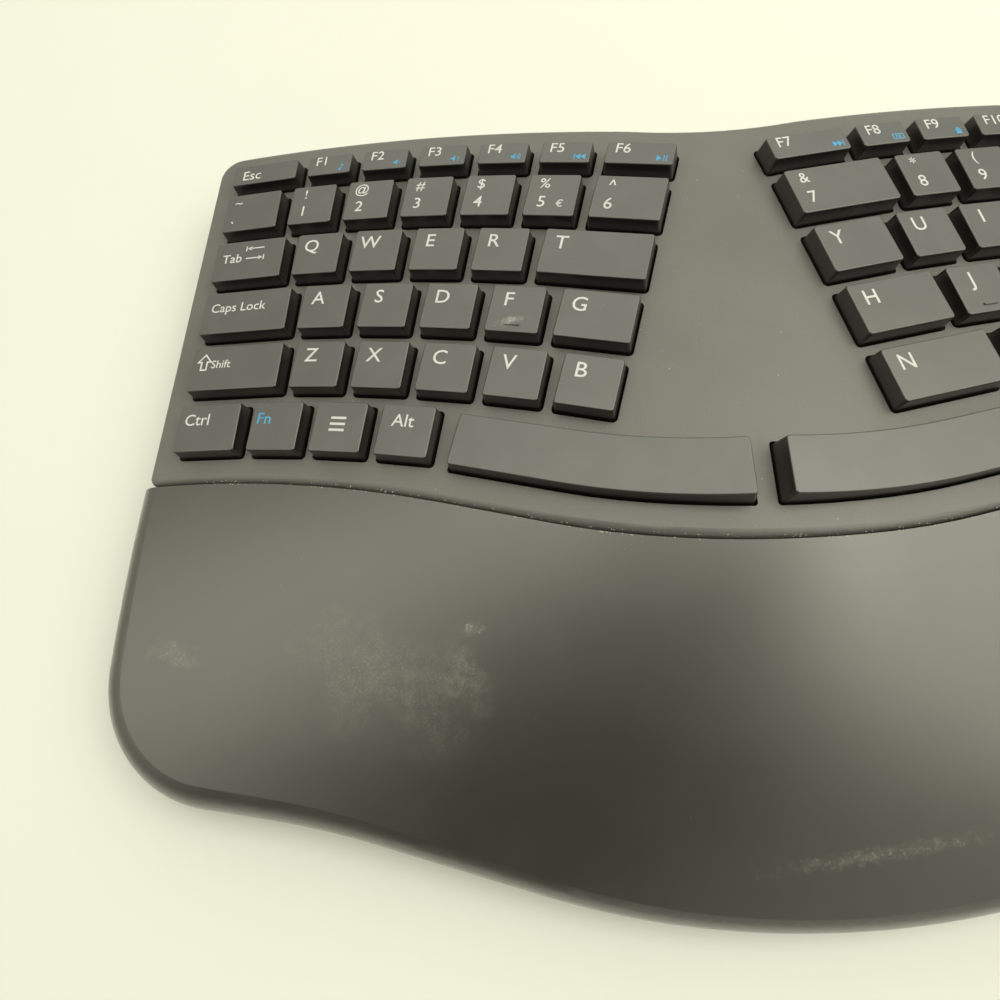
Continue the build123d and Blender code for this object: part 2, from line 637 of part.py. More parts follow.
# Keys of the left half, one piece each, and the rows of the right half
for name, (plane, width, depth) in LEFT_KEYS.items():
    export(make_cap(plane, width, depth, homing=name == "f"), f"key_{name}")
export(make_space_bar(LEFT_DECK, -1), "key_space_left")
export(make_space_bar(RIGHT_DECK, 1), "key_space_right")
export_group(RIGHT_KEYS["function"], "function_keys_right")
export_group(RIGHT_KEYS["number"], "number_keys_right")
export_group(RIGHT_KEYS["top"], "top_letter_keys_right")
export_group(RIGHT_KEYS["home"], "home_letter_keys_right", homing=1)
export_group(RIGHT_KEYS["bottom"] + RIGHT_KEYS["modifier"], "bottom_keys_right")
export_group(NAVIGATION_KEYS, "navigation_keys")
export_group(NUMBER_PAD_KEYS, "number_pad_keys")


def palm_front_y(x):
    """Place up the plan of the palm rest's front edge, as a straight slant from its nose to its sides."""
    return min(abs(x), PALM_BEND_START) * math.tan(math.radians(PALM_NOSE_ANGLE)) - PALM_FRONT


# Screw posts: along the back rim, on the split line, between the clusters and along the palm rest
BACK_POST_X = (-CASE_LEFT + POST_SIDE, -CASE_LEFT / 2, CASE_LEFT / 2, VALLEY_X, CASE_RIGHT - POST_SIDE)
PALM_FAR_X = CASE_RIGHT - PALM_CORNER
PALM_POST_X = (-PALM_SIDE_START, -PALM_SIDE_START / 3, PALM_SIDE_START / 3, PALM_SIDE_START, PALM_FAR_X)
CLUSTER_POST_Y = row_y("bottom")
CASE_POSTS = [(x, back_y(x, POST_INSET)) for x in BACK_POST_X]
CASE_POSTS += [(0, row_y("top")), (0, -SPACE_FRONT - POST_RADIUS)]
CASE_POSTS += [(VALLEY_X, CLUSTER_POST_Y), (NUMBER_PAD_X - CLUSTER_GAP / 2, CLUSTER_POST_Y)]
PALM_POSTS = [(x, palm_front_y(x) + PALM_POST_INSET) for x in PALM_POST_X]


def posts_under(solid, places):
    """Round posts that stand on the split height and end inside the given solid's top."""
    with BuildPart() as posts:
        with BuildSketch(PLAN.offset(SPLIT_HEIGHT)):
            with Locations(*places):
                Circle(POST_RADIUS)
        extrude(amount=FULL_HEIGHT)
        add(solid, mode=Mode.INTERSECT)
    return posts.part


def cut_openings(keys):
    """Solids of the openings that the keys stand in."""
    grow = 2 * (CAP_FLARE + OPENING_CLEARANCE)
    with BuildPart() as openings:
        for plane, width, depth in keys:
            with BuildSketch(plane.offset(CAP_PROUD)):
                RectangleRounded(width + grow, depth + grow, CAP_CORNER + OPENING_CLEARANCE)
        extrude(amount=-CAP_PROUD - GUIDE_DEPTH)
    return openings.part


# Top case
CASE_OUTLINE = case_plan(0)
CASE_BODY = under_deck(0, CASE_OUTLINE, SPLIT_HEIGHT)
CASE_HOLLOW = under_deck(DECK_THICKNESS, case_plan(CASE_WALL), SPLIT_HEIGHT)
CASE_POST_SOLIDS = posts_under(under_deck(DECK_THICKNESS / 2, CASE_OUTLINE, SPLIT_HEIGHT), CASE_POSTS)
KEY_OPENINGS = cut_openings(PLAIN_KEYS)
SPACE_GROW = CAP_FLARE + OPENING_CLEARANCE
LEFT_SPACE_OPENING = space_outline(LEFT_DECK.offset(CAP_PROUD), -1, SPACE_GROW)
RIGHT_SPACE_OPENING = space_outline(RIGHT_DECK.offset(CAP_PROUD), 1, SPACE_GROW)

with BuildPart() as top_case:
    add(CASE_BODY)
    walls = top_case.faces().filter_by(lambda face: abs(face.normal_at().Z) < 0.1)
    rim = walls.edges().filter_by(lambda edge: edge.bounding_box().min.Z > SPLIT_HEIGHT + RIM_RADIUS)
    fillet(rim, RIM_RADIUS)
    add(CASE_HOLLOW, mode=Mode.SUBTRACT)
    add(CASE_POST_SOLIDS)
    add(KEY_OPENINGS, mode=Mode.SUBTRACT)
    extrude(
        to_extrude=LEFT_SPACE_OPENING,
        amount=-CAP_PROUD - GUIDE_DEPTH,
        dir=LEFT_DECK.z_dir,
        mode=Mode.SUBTRACT,
    )
    extrude(
        to_extrude=RIGHT_SPACE_OPENING,
        amount=-CAP_PROUD - GUIDE_DEPTH,
        dir=RIGHT_DECK.z_dir,
        mode=Mode.SUBTRACT,
    )
    with BuildSketch(PLAN.offset(SPLIT_HEIGHT)):
        with Locations(*CASE_POSTS):
            Circle(SCREW_BORE)
    extrude(amount=SCREW_DEPTH, mode=Mode.SUBTRACT)
export(top_case.part, "top_case")


def is_outer_edge(place):
    """Whether a point lies on the palm rest's outline, away from the seam."""
    x, y = place.X - DATUM_X, place.Y - DATUM_Y
    beside = x < -CASE_LEFT - PALM_OVERHANG / 2 or x > CASE_RIGHT + PALM_OVERHANG / 2
    return beside or y < -SEAM_FRONT - SEAM_GAP - 1


# Palm rest
PALM_AREA = palm_plan(0, SEAM_GAP) - case_plan(-SEAM_GAP)
PALM_BODY = palm_solid(0, PALM_AREA, SPLIT_HEIGHT)
PALM_HOLLOW_AREA = palm_plan(PALM_WALL, SEAM_GAP) - case_plan(-SEAM_GAP - PALM_SKIN)
PALM_HOLLOW = palm_solid(PALM_SKIN, PALM_HOLLOW_AREA, SPLIT_HEIGHT)
PALM_POST_SOLIDS = posts_under(palm_solid(PALM_SKIN / 2, PALM_AREA, SPLIT_HEIGHT), PALM_POSTS)

with BuildPart() as palm_rest:
    add(PALM_BODY)
    walls = palm_rest.faces().filter_by(lambda face: abs(face.normal_at().Z) < 0.1)
    edges = walls.edges().filter_by(lambda edge: edge.bounding_box().min.Z > SPLIT_HEIGHT + 1)
    outer = edges.filter_by(lambda edge: is_outer_edge(edge.center()))
    fillet(outer, PALM_EDGE)
    add(PALM_HOLLOW, mode=Mode.SUBTRACT)
    add(PALM_POST_SOLIDS)
    with BuildSketch(PLAN.offset(SPLIT_HEIGHT)):
        with Locations(*PALM_POSTS):
            Circle(SCREW_BORE)
    extrude(amount=SCREW_DEPTH, mode=Mode.SUBTRACT)
export(palm_rest.part, "palm_rest")

# Layers under the keys
LAYER_PLAN = case_plan(LAYER_INSET, CASE_POSTS)


def layer(depth, thickness):
    """A sheet that follows the deck, from one depth to a deeper one."""
    upper = under_deck(depth, LAYER_PLAN, FLOOR_HEIGHT)
    lower = under_deck(depth + thickness, LAYER_PLAN, FLOOR_HEIGHT)
    with BuildPart() as sheet:
        add(upper)
        add(lower, mode=Mode.SUBTRACT)
    return sheet.part


CIRCUIT_DEPTH = SHEET_DEPTH + SHEET_THICKNESS
PLATE_DEPTH = CIRCUIT_DEPTH + CIRCUIT_THICKNESS
STACK_DEPTH = PLATE_DEPTH + PLATE_THICKNESS
GUIDE_BORE = STEM_RADIUS + STEM_CLEARANCE
GUIDE_SHEET = layer(GUIDE_DEPTH, GUIDE_THICKNESS)
DOME_SHEET = layer(SHEET_DEPTH, SHEET_THICKNESS)

with BuildPart() as key_guide_frame:
    add(GUIDE_SHEET)
    for plane in STEM_PLANES:
        with BuildSketch(plane.offset(GUIDE_RISE - GUIDE_DEPTH)):
            Circle(GUIDE_BORE + GUIDE_WALL)
    extrude(amount=-GUIDE_RISE - GUIDE_THICKNESS / 2)
    for plane in STEM_PLANES:
        with BuildSketch(plane.offset(GUIDE_RISE - GUIDE_DEPTH)):
            Circle(GUIDE_BORE)
    extrude(amount=-GUIDE_RISE - 2 * GUIDE_THICKNESS, mode=Mode.SUBTRACT)
export(key_guide_frame.part, "key_guide_frame")

with BuildPart() as dome_sheet:
    add(DOME_SHEET)
    for plane in DOME_PLANES:
        with BuildSketch(plane.offset(DOME_HEIGHT - SHEET_DEPTH)):
            Circle(DOME_RADIUS)
            Circle(DOME_RADIUS - DOME_WALL, mode=Mode.SUBTRACT)
    extrude(amount=-DOME_HEIGHT - SHEET_THICKNESS / 2)
export(dome_sheet.part, "dome_sheet")

export(layer(CIRCUIT_DEPTH, CIRCUIT_THICKNESS), "membrane_circuit")
export(layer(PLATE_DEPTH, PLATE_THICKNESS), "backing_plate")

# Bottom case: a tray with ribs, bosses, a battery bay and two leg wells
FLOOR_TOP = FLOOR_HEIGHT + FLOOR_THICKNESS
BASE_PLAN = case_plan(0) + palm_plan(0, -BASE_LAP)
BASE_HOLLOW = case_plan(CASE_WALL) + palm_plan(CASE_WALL, -BASE_LAP)
CELL_HEIGHT = FLOOR_HEIGHT + DOOR_THICKNESS + DOOR_CLEARANCE + CELL_RADIUS
BAY_LENGTH = CELL_LENGTH + BAY_SPRING_SPACE
BAY_WIDTH = CELL_SPACING + 2 * CELL_RADIUS + 2 * CELL_PLAY
BAY_TOP = CELL_HEIGHT + CELL_RADIUS + CELL_PLAY
DOOR_LENGTH = BAY_LENGTH + 2 * DOOR_LEDGE
DOOR_WIDTH = BAY_WIDTH + 2 * DOOR_LEDGE
HINGE_HEIGHT = FLOOR_HEIGHT + DOOR_CLEARANCE + LEG_THICKNESS / 2
WELL_TOP = HINGE_HEIGHT + LEG_THICKNESS / 2 + LEG_CLEARANCE
HINGE_Y = BACK_REACH - LEG_INSET
LEG_PLACES = {
    "left": -CASE_LEFT + LEG_SIDE + LEG_WIDTH / 2,
    "right": CASE_RIGHT - LEG_SIDE - LEG_WIDTH / 2,
}
WELL_BACK = HINGE_Y + LEG_THICKNESS / 2 + 2 * LEG_CLEARANCE
WELL_FRONT = HINGE_Y - LEG_LENGTH - LEG_THICKNESS
WELL_MIDDLE = (WELL_BACK + WELL_FRONT) / 2
WELL_WIDTH = LEG_WIDTH + 2 * LEG_CLEARANCE
FOOT_PLACES = [(x, palm_front_y(x) + FOOT_INSET) for x in FRONT_FOOT_X + (PALM_FAR_X,)]
FOOT_PLACES += [(x, back_y(x, BACK_FOOT_INSET)) for x in BACK_FOOT_X]
BOARD_POST_X = BOARD_SIZE[0] / 2 - BOSS_RADIUS
BOARD_POST_Y = BOARD_SIZE[1] / 2 - BOSS_RADIUS
BOARD_POSTS = []
for side in (-1, 1):
    BOARD_POSTS.append((SWITCH_X + side * BOARD_POST_X, BOARD_CENTER_Y - BOARD_POST_Y))
    BOARD_POSTS.append((SWITCH_X + side * BOARD_POST_X, BOARD_CENTER_Y + BOARD_POST_Y))
SWITCH_SLOT = (SWITCH_KNOB[0] + SWITCH_TRAVEL + 2 * SWITCH_CLEARANCE, SWITCH_KNOB[1] + 2 * SWITCH_CLEARANCE)
STACK_BODY = under_deck(STACK_DEPTH, LAYER_PLAN, FLOOR_TOP)


def hinge_plane(x):
    """Plane square to a tilt leg's hinge line, at the middle of the leg."""
    return Plane(origin=(DATUM_X + x, DATUM_Y + HINGE_Y, HINGE_HEIGHT), x_dir=(0, 1, 0), z_dir=(1, 0, 0))


with BuildPart() as ribs:
    add(STACK_BODY)
    with BuildSketch(PLAN):
        with Locations(*[(x, 0) for x in RIB_PLACES]):
            Rectangle(RIB_THICKNESS, FULL_REACH)
    extrude(amount=FULL_HEIGHT, mode=Mode.INTERSECT)

with BuildPart() as bottom_case:
    extrude(to_extrude=BASE_PLAN.moved(Location((0, 0, FLOOR_HEIGHT))), amount=SPLIT_HEIGHT - FLOOR_HEIGHT)
    fillet(bottom_case.faces().sort_by(Axis.Z)[0].edges(), BASE_EDGE)
    extrude(to_extrude=BASE_HOLLOW.moved(Location((0, 0, FLOOR_TOP))), amount=FULL_HEIGHT, mode=Mode.SUBTRACT)
    add(ribs.part)
    with BuildSketch(PLAN.offset(FLOOR_HEIGHT)):
        with Locations(*CASE_POSTS, *PALM_POSTS):
            Circle(BOSS_RADIUS)
    extrude(amount=SPLIT_HEIGHT - FLOOR_HEIGHT)
    with BuildSketch(PLAN.offset(FLOOR_TOP)):
        with Locations((0, BAY_CENTER_Y)):
            Rectangle(BAY_LENGTH + 2 * BAY_WALL, BAY_WIDTH + 2 * BAY_WALL)
    extrude(amount=BAY_TOP + BAY_WALL - FLOOR_TOP)
    with BuildSketch(PLAN.offset(FLOOR_TOP)):
        with Locations(*[(x, WELL_MIDDLE) for x in LEG_PLACES.values()]):
            Rectangle(WELL_WIDTH + 2 * LEG_WALL, WELL_BACK - WELL_FRONT + 2 * LEG_WALL)
    extrude(amount=WELL_TOP + LEG_WALL - FLOOR_TOP)
    with BuildSketch(PLAN.offset(FLOOR_TOP)):
        with Locations(*BOARD_POSTS):
            Circle(BOSS_RADIUS)
    extrude(amount=BOARD_HEIGHT - FLOOR_TOP)
    with BuildSketch(PLAN.offset(FLOOR_HEIGHT)):
        with Locations((0, BAY_CENTER_Y)):
            Rectangle(BAY_LENGTH, BAY_WIDTH)
    extrude(amount=BAY_TOP - FLOOR_HEIGHT, mode=Mode.SUBTRACT)
    with BuildSketch(PLAN.offset(FLOOR_HEIGHT)):
        with Locations((DOOR_TRAVEL / 2, BAY_CENTER_Y)):
            Rectangle(DOOR_LENGTH + DOOR_TRAVEL + 2 * DOOR_CLEARANCE, DOOR_WIDTH + 2 * DOOR_CLEARANCE)
    extrude(amount=DOOR_THICKNESS, mode=Mode.SUBTRACT)
    with BuildSketch(PLAN.offset(FLOOR_HEIGHT + DOOR_THICKNESS / 4 - TONGUE_CLEARANCE)):
        with Locations((-DOOR_LENGTH / 2, BAY_CENTER_Y)):
            with GridLocations(0, BAY_WIDTH, 1, 2):
                Rectangle(2 * DOOR_TONGUE[0] + 2 * DOOR_CLEARANCE, DOOR_TONGUE[1] + 2 * DOOR_CLEARANCE)
    extrude(amount=DOOR_TONGUE[2] + 2 * TONGUE_CLEARANCE, mode=Mode.SUBTRACT)
    with BuildSketch(PLAN.offset(FLOOR_HEIGHT)):
        with Locations(*[(x, WELL_MIDDLE) for x in LEG_PLACES.values()]):
            Rectangle(WELL_WIDTH, WELL_BACK - WELL_FRONT)
    extrude(amount=WELL_TOP - FLOOR_HEIGHT, mode=Mode.SUBTRACT)
    for x in LEG_PLACES.values():
        with BuildSketch(hinge_plane(x)):
            Circle(LEG_PIN_RADIUS + SCREW_CLEARANCE)
    extrude(amount=LEG_WIDTH / 2 + LEG_PIN_REACH + LEG_CLEARANCE, both=True, mode=Mode.SUBTRACT)
    with BuildSketch(PLAN.offset(FLOOR_HEIGHT)):
        with Locations((SWITCH_X, SWITCH_Y)):
            RectangleRounded(SWITCH_SLOT[0], SWITCH_SLOT[1], CAP_CORNER)
    extrude(amount=FLOOR_THICKNESS, mode=Mode.SUBTRACT)
    with BuildSketch(PLAN.offset(FLOOR_HEIGHT)):
        with Locations(*FOOT_PLACES):
            SlotOverall(FOOT_SIZE[0], FOOT_SIZE[1])
    extrude(amount=FOOT_SEAT, mode=Mode.SUBTRACT)
    with BuildSketch(PLAN.offset(FLOOR_HEIGHT)):
        with Locations(*CASE_POSTS, *PALM_POSTS):
            Circle(SCREW_HEAD_RADIUS + SCREW_CLEARANCE)
    extrude(amount=HEAD_SINK + SCREW_HEAD_HEIGHT, mode=Mode.SUBTRACT)
    with BuildSketch(PLAN.offset(FLOOR_HEIGHT)):
        with Locations(*CASE_POSTS, *PALM_POSTS):
            Circle(SCREW_BORE)
    extrude(amount=SPLIT_HEIGHT, mode=Mode.SUBTRACT)
export(bottom_case.part, "bottom_case")

# Battery cells and their door
with BuildPart() as battery_cells:
    for y in (-CELL_SPACING / 2, CELL_SPACING / 2):
        axis = Plane(
            origin=(DATUM_X - CELL_LENGTH / 2, DATUM_Y + BAY_CENTER_Y + y, CELL_HEIGHT),
            x_dir=(0, 1, 0),
            z_dir=(1, 0, 0),
        )
        with BuildSketch(axis):
            Circle(CELL_RADIUS)
        extrude(amount=CELL_LENGTH - CELL_NUB[1])
        with BuildSketch(axis):
            Circle(CELL_NUB[0])
        extrude(amount=CELL_LENGTH)
export(battery_cells.part, "battery_cells")

with BuildPart() as battery_door:
    with BuildSketch(PLAN.offset(FLOOR_HEIGHT)):
        with Locations((0, BAY_CENTER_Y)):
            Rectangle(DOOR_LENGTH, DOOR_WIDTH)
    extrude(amount=DOOR_THICKNESS)
    with BuildSketch(PLAN.offset(FLOOR_HEIGHT)):
        with Locations((DOOR_LENGTH / 2 - DOOR_LEDGE, BAY_CENTER_Y)):
            with GridLocations(GRIP_PITCH, 0, GRIP_COUNT, 1):
                SlotOverall(DOOR_WIDTH / 2, GRIP_PITCH / 2, rotation=90)
    extrude(amount=DOOR_THICKNESS / 3, mode=Mode.SUBTRACT)
    with BuildSketch(PLAN.offset(FLOOR_HEIGHT + DOOR_THICKNESS / 4)):
        with Locations((-DOOR_LENGTH / 2, BAY_CENTER_Y)):
            with GridLocations(0, BAY_WIDTH, 1, 2):
                Rectangle(2 * DOOR_TONGUE[0], DOOR_TONGUE[1])
    extrude(amount=DOOR_TONGUE[2])
export(battery_door.part, "battery_door")

# Power switch
SWITCH_TOP = FLOOR_TOP + SWITCH_CLEARANCE
with BuildPart() as power_switch:
    with BuildSketch(PLAN.offset(FLOOR_HEIGHT - SWITCH_PROUD)):
        with Locations((SWITCH_X - SWITCH_TRAVEL / 2, SWITCH_Y)):
            RectangleRounded(SWITCH_KNOB[0], SWITCH_KNOB[1], CAP_CORNER)
    extrude(amount=SWITCH_TOP - FLOOR_HEIGHT + SWITCH_PROUD)
    with BuildSketch(PLAN.offset(SWITCH_TOP)):
        with Locations((SWITCH_X - SWITCH_TRAVEL / 2, SWITCH_Y)):
            Rectangle(SWITCH_FLANGE[0], SWITCH_FLANGE[1])
    extrude(amount=SWITCH_FLANGE[2])
export(power_switch.part, "power_switch")

# Controller board, with the switch body under it and three chips on it
SWITCH_BODY_FOOT = SWITCH_TOP + SWITCH_FLANGE[2] + SWITCH_CLEARANCE
with BuildPart() as controller_board:
    with BuildSketch(PLAN.offset(BOARD_HEIGHT)):
        with Locations((SWITCH_X, BOARD_CENTER_Y)):
            Rectangle(BOARD_SIZE[0], BOARD_SIZE[1])
    extrude(amount=BOARD_SIZE[2])
    with BuildSketch(PLAN.offset(SWITCH_BODY_FOOT)):
        with Locations((SWITCH_X, SWITCH_Y)):
            Rectangle(SWITCH_BODY[0], SWITCH_BODY[1])
    extrude(amount=BOARD_HEIGHT - SWITCH_BODY_FOOT)
    for step, size in enumerate(CHIP_SIZES):
        with BuildSketch(PLAN.offset(BOARD_HEIGHT + BOARD_SIZE[2])):
            with Locations((SWITCH_X, BOARD_CENTER_Y + (step - 1) * BOARD_SIZE[1] / 4)):
                Rectangle(size[0], size[1])
        extrude(amount=size[2])
export(controller_board.part, "controller_board")

# Tilt legs, each on its own two pins
for side, x in LEG_PLACES.items():
    hinge = hinge_plane(x)
    with BuildPart() as leg:
        with BuildSketch(hinge):
            with Locations((-LEG_LENGTH / 2, 0)):
                SlotCenterToCenter(LEG_LENGTH, LEG_THICKNESS)
        extrude(amount=LEG_WIDTH / 2, both=True)
        with BuildSketch(hinge):
            Circle(LEG_PIN_RADIUS)
        extrude(amount=LEG_WIDTH / 2 + LEG_PIN_REACH, both=True)
    export(leg.part, f"tilt_leg_{side}")

# Rubber feet, one group of separate pads
with BuildPart() as rubber_feet:
    with BuildSketch(PLAN):
        with Locations(*FOOT_PLACES):
            SlotOverall(FOOT_SIZE[0], FOOT_SIZE[1])
    extrude(amount=FLOOR_HEIGHT + FOOT_SEAT)
    fillet(rubber_feet.faces().filter_by(Plane.XY).sort_by(Axis.Z)[: len(FOOT_PLACES)].edges(), FOOT_EDGE)
export(rubber_feet.part, "rubber_feet")

# Case screws, one group of separate screws
HEAD_FOOT = FLOOR_HEIGHT + HEAD_SINK
with BuildPart() as case_screws:
    with BuildSketch(PLAN.offset(HEAD_FOOT)):
        with Locations(*CASE_POSTS, *PALM_POSTS):
            Circle(SCREW_HEAD_RADIUS)
            RegularPolygon(SCREW_SOCKET_RADIUS, 6, mode=Mode.SUBTRACT)
    extrude(amount=SCREW_HEAD_HEIGHT / 2)
    with BuildSketch(PLAN.offset(HEAD_FOOT + SCREW_HEAD_HEIGHT / 2)):
        with Locations(*CASE_POSTS, *PALM_POSTS):
            Circle(SCREW_HEAD_RADIUS)
    extrude(amount=SCREW_HEAD_HEIGHT / 2)
    with BuildSketch(PLAN.offset(HEAD_FOOT + SCREW_HEAD_HEIGHT)):
        with Locations(*CASE_POSTS, *PALM_POSTS):
            Circle(SCREW_RADIUS)
    extrude(amount=SPLIT_HEIGHT + SCREW_DEPTH - SCREW_END_GAP - HEAD_FOOT - SCREW_HEAD_HEIGHT)
export(case_screws.part, "case_screws")
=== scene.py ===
import json
import logging
import math
from collections.abc import Iterable
from dataclasses import dataclass, field
from enum import Enum
from itertools import combinations

import bmesh
import bpy
import numpy as np
from mathutils import Matrix, Vector
from mathutils.bvhtree import BVHTree

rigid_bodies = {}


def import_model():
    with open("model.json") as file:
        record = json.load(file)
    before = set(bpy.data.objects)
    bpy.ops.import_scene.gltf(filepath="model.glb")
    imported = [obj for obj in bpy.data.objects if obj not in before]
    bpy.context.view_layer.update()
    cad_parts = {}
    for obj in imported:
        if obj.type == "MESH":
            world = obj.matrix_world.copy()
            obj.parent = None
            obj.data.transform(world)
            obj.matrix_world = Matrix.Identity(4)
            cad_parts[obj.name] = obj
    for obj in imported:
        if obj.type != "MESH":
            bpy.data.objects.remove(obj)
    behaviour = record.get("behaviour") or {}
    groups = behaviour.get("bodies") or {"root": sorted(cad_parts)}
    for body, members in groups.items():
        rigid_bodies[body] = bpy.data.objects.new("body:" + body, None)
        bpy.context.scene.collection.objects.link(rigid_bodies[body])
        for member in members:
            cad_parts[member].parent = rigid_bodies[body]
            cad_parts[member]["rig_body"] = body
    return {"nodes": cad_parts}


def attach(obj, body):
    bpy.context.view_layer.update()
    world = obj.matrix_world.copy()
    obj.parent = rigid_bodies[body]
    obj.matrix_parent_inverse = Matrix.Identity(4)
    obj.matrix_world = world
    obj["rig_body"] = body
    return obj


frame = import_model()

log = logging.getLogger("keyboard")

MM = 0.001
# The others are in millimetres.
SAME_PLACE = 0.0001             # corners of a new piece closer than this become one
WELD = 0.001                    # the same for corners read from the CAD
FLATNESS = 0.02                 # how far a key top's corners may lie from the deck's plane
SMALLEST_TOP = 5.0              # a flat place smaller than this is no key top
ROW_STEP = 3.0                  # tops further apart than this lie in different rows
RAISED = 0.03                   # how far a legend stands over the key's top
SUNK = 0.02                     # and how far it reaches into it
Colour = tuple[float, float, float, float]
Shape = tuple[np.ndarray, list[tuple[int, ...]]]
Pair = tuple[float, float]
Value = bpy.types.NodeSocket | float


def tone(red: float, green: float, blue: float) -> Colour:
    """Linear colour of a tone that is written as it looks on a screen.

    Each channel is ((c + 0.055) / 1.055) to the power 2.4, with c from 0 to 1.

    Args:
        red, green, blue: the channels, 0 to 255.

    Returns:
        The colour with full cover.
    """
    channels = (np.array((red, green, blue)) / 255 + 0.055) / 1.055
    return (*(channels**2.4).tolist(), 1.0)


def scaled(colour: Colour, factor: float) -> Colour:
    """The colour's channels times a factor, with full cover."""
    return (*(factor * channel for channel in colour[:3]), 1.0)


def put(name: str, data: bpy.types.ID) -> bpy.types.Object:
    """Puts a new object that holds the data into the scene."""
    item = bpy.data.objects.new(name, data)
    bpy.context.scene.collection.objects.link(item)
    return item


class Nodes:
    """A node tree with short ways to add and link its nodes."""

    def __init__(self, tree: bpy.types.NodeTree) -> None:
        """Takes a tree and empties it."""
        self.tree = tree
        tree.nodes.clear()

    def add(self, kind: str, values: dict | None = None, **settings) -> bpy.types.Node:
        """Adds a node.

        Args:
            kind: the node's type.
            values: its inputs by name or number, each a constant or a socket to link.
            settings: its own properties.

        Returns:
            The node.
        """
        node = self.tree.nodes.new(kind)
        for key, value in settings.items():
            setattr(node, key, value)
        for key, value in (values or {}).items():
            self.feed(node.inputs[key], value)
        return node

    def feed(self, socket: bpy.types.NodeSocket, value: object) -> None:
        """Links a socket where the value is one, and otherwise sets the constant."""
        if isinstance(value, bpy.types.NodeSocket):
            self.tree.links.new(value, socket)
        else:
            socket.default_value = value

    def ramp(self, value: Value, low: float, high: float, start: float = 0.0, end: float = 1.0) -> Value:
        """Smooth step of a value: start at or below low, end at or above high."""
        values = {"Value": value, "From Min": low, "From Max": high, "To Min": start, "To Max": end}
        return self.add("ShaderNodeMapRange", values, interpolation_type="SMOOTHSTEP").outputs["Result"]

    def calc(self, operation: str, first: Value, second: Value) -> Value:
        """One sum of two values, such as MULTIPLY or ADD."""
        return self.add("ShaderNodeMath", {0: first, 1: second}, operation=operation).outputs[0]

    def most(self, first: Value, *others: Value) -> Value:
        """The largest of several values."""
        for other in others:
            first = self.calc("MAXIMUM", first, other)
        return first

    def length(self, vector: Value) -> Value:
        """Length of a vector."""
        return self.add("ShaderNodeVectorMath", {0: vector}, operation="LENGTH").outputs["Value"]

    def mix(self, share: Value, first: object, second: object) -> Value:
        """Colour that goes from the first to the second with the share."""
        return self.add("ShaderNodeMix", {0: share, 6: first, 7: second}, data_type="RGBA").outputs[2]


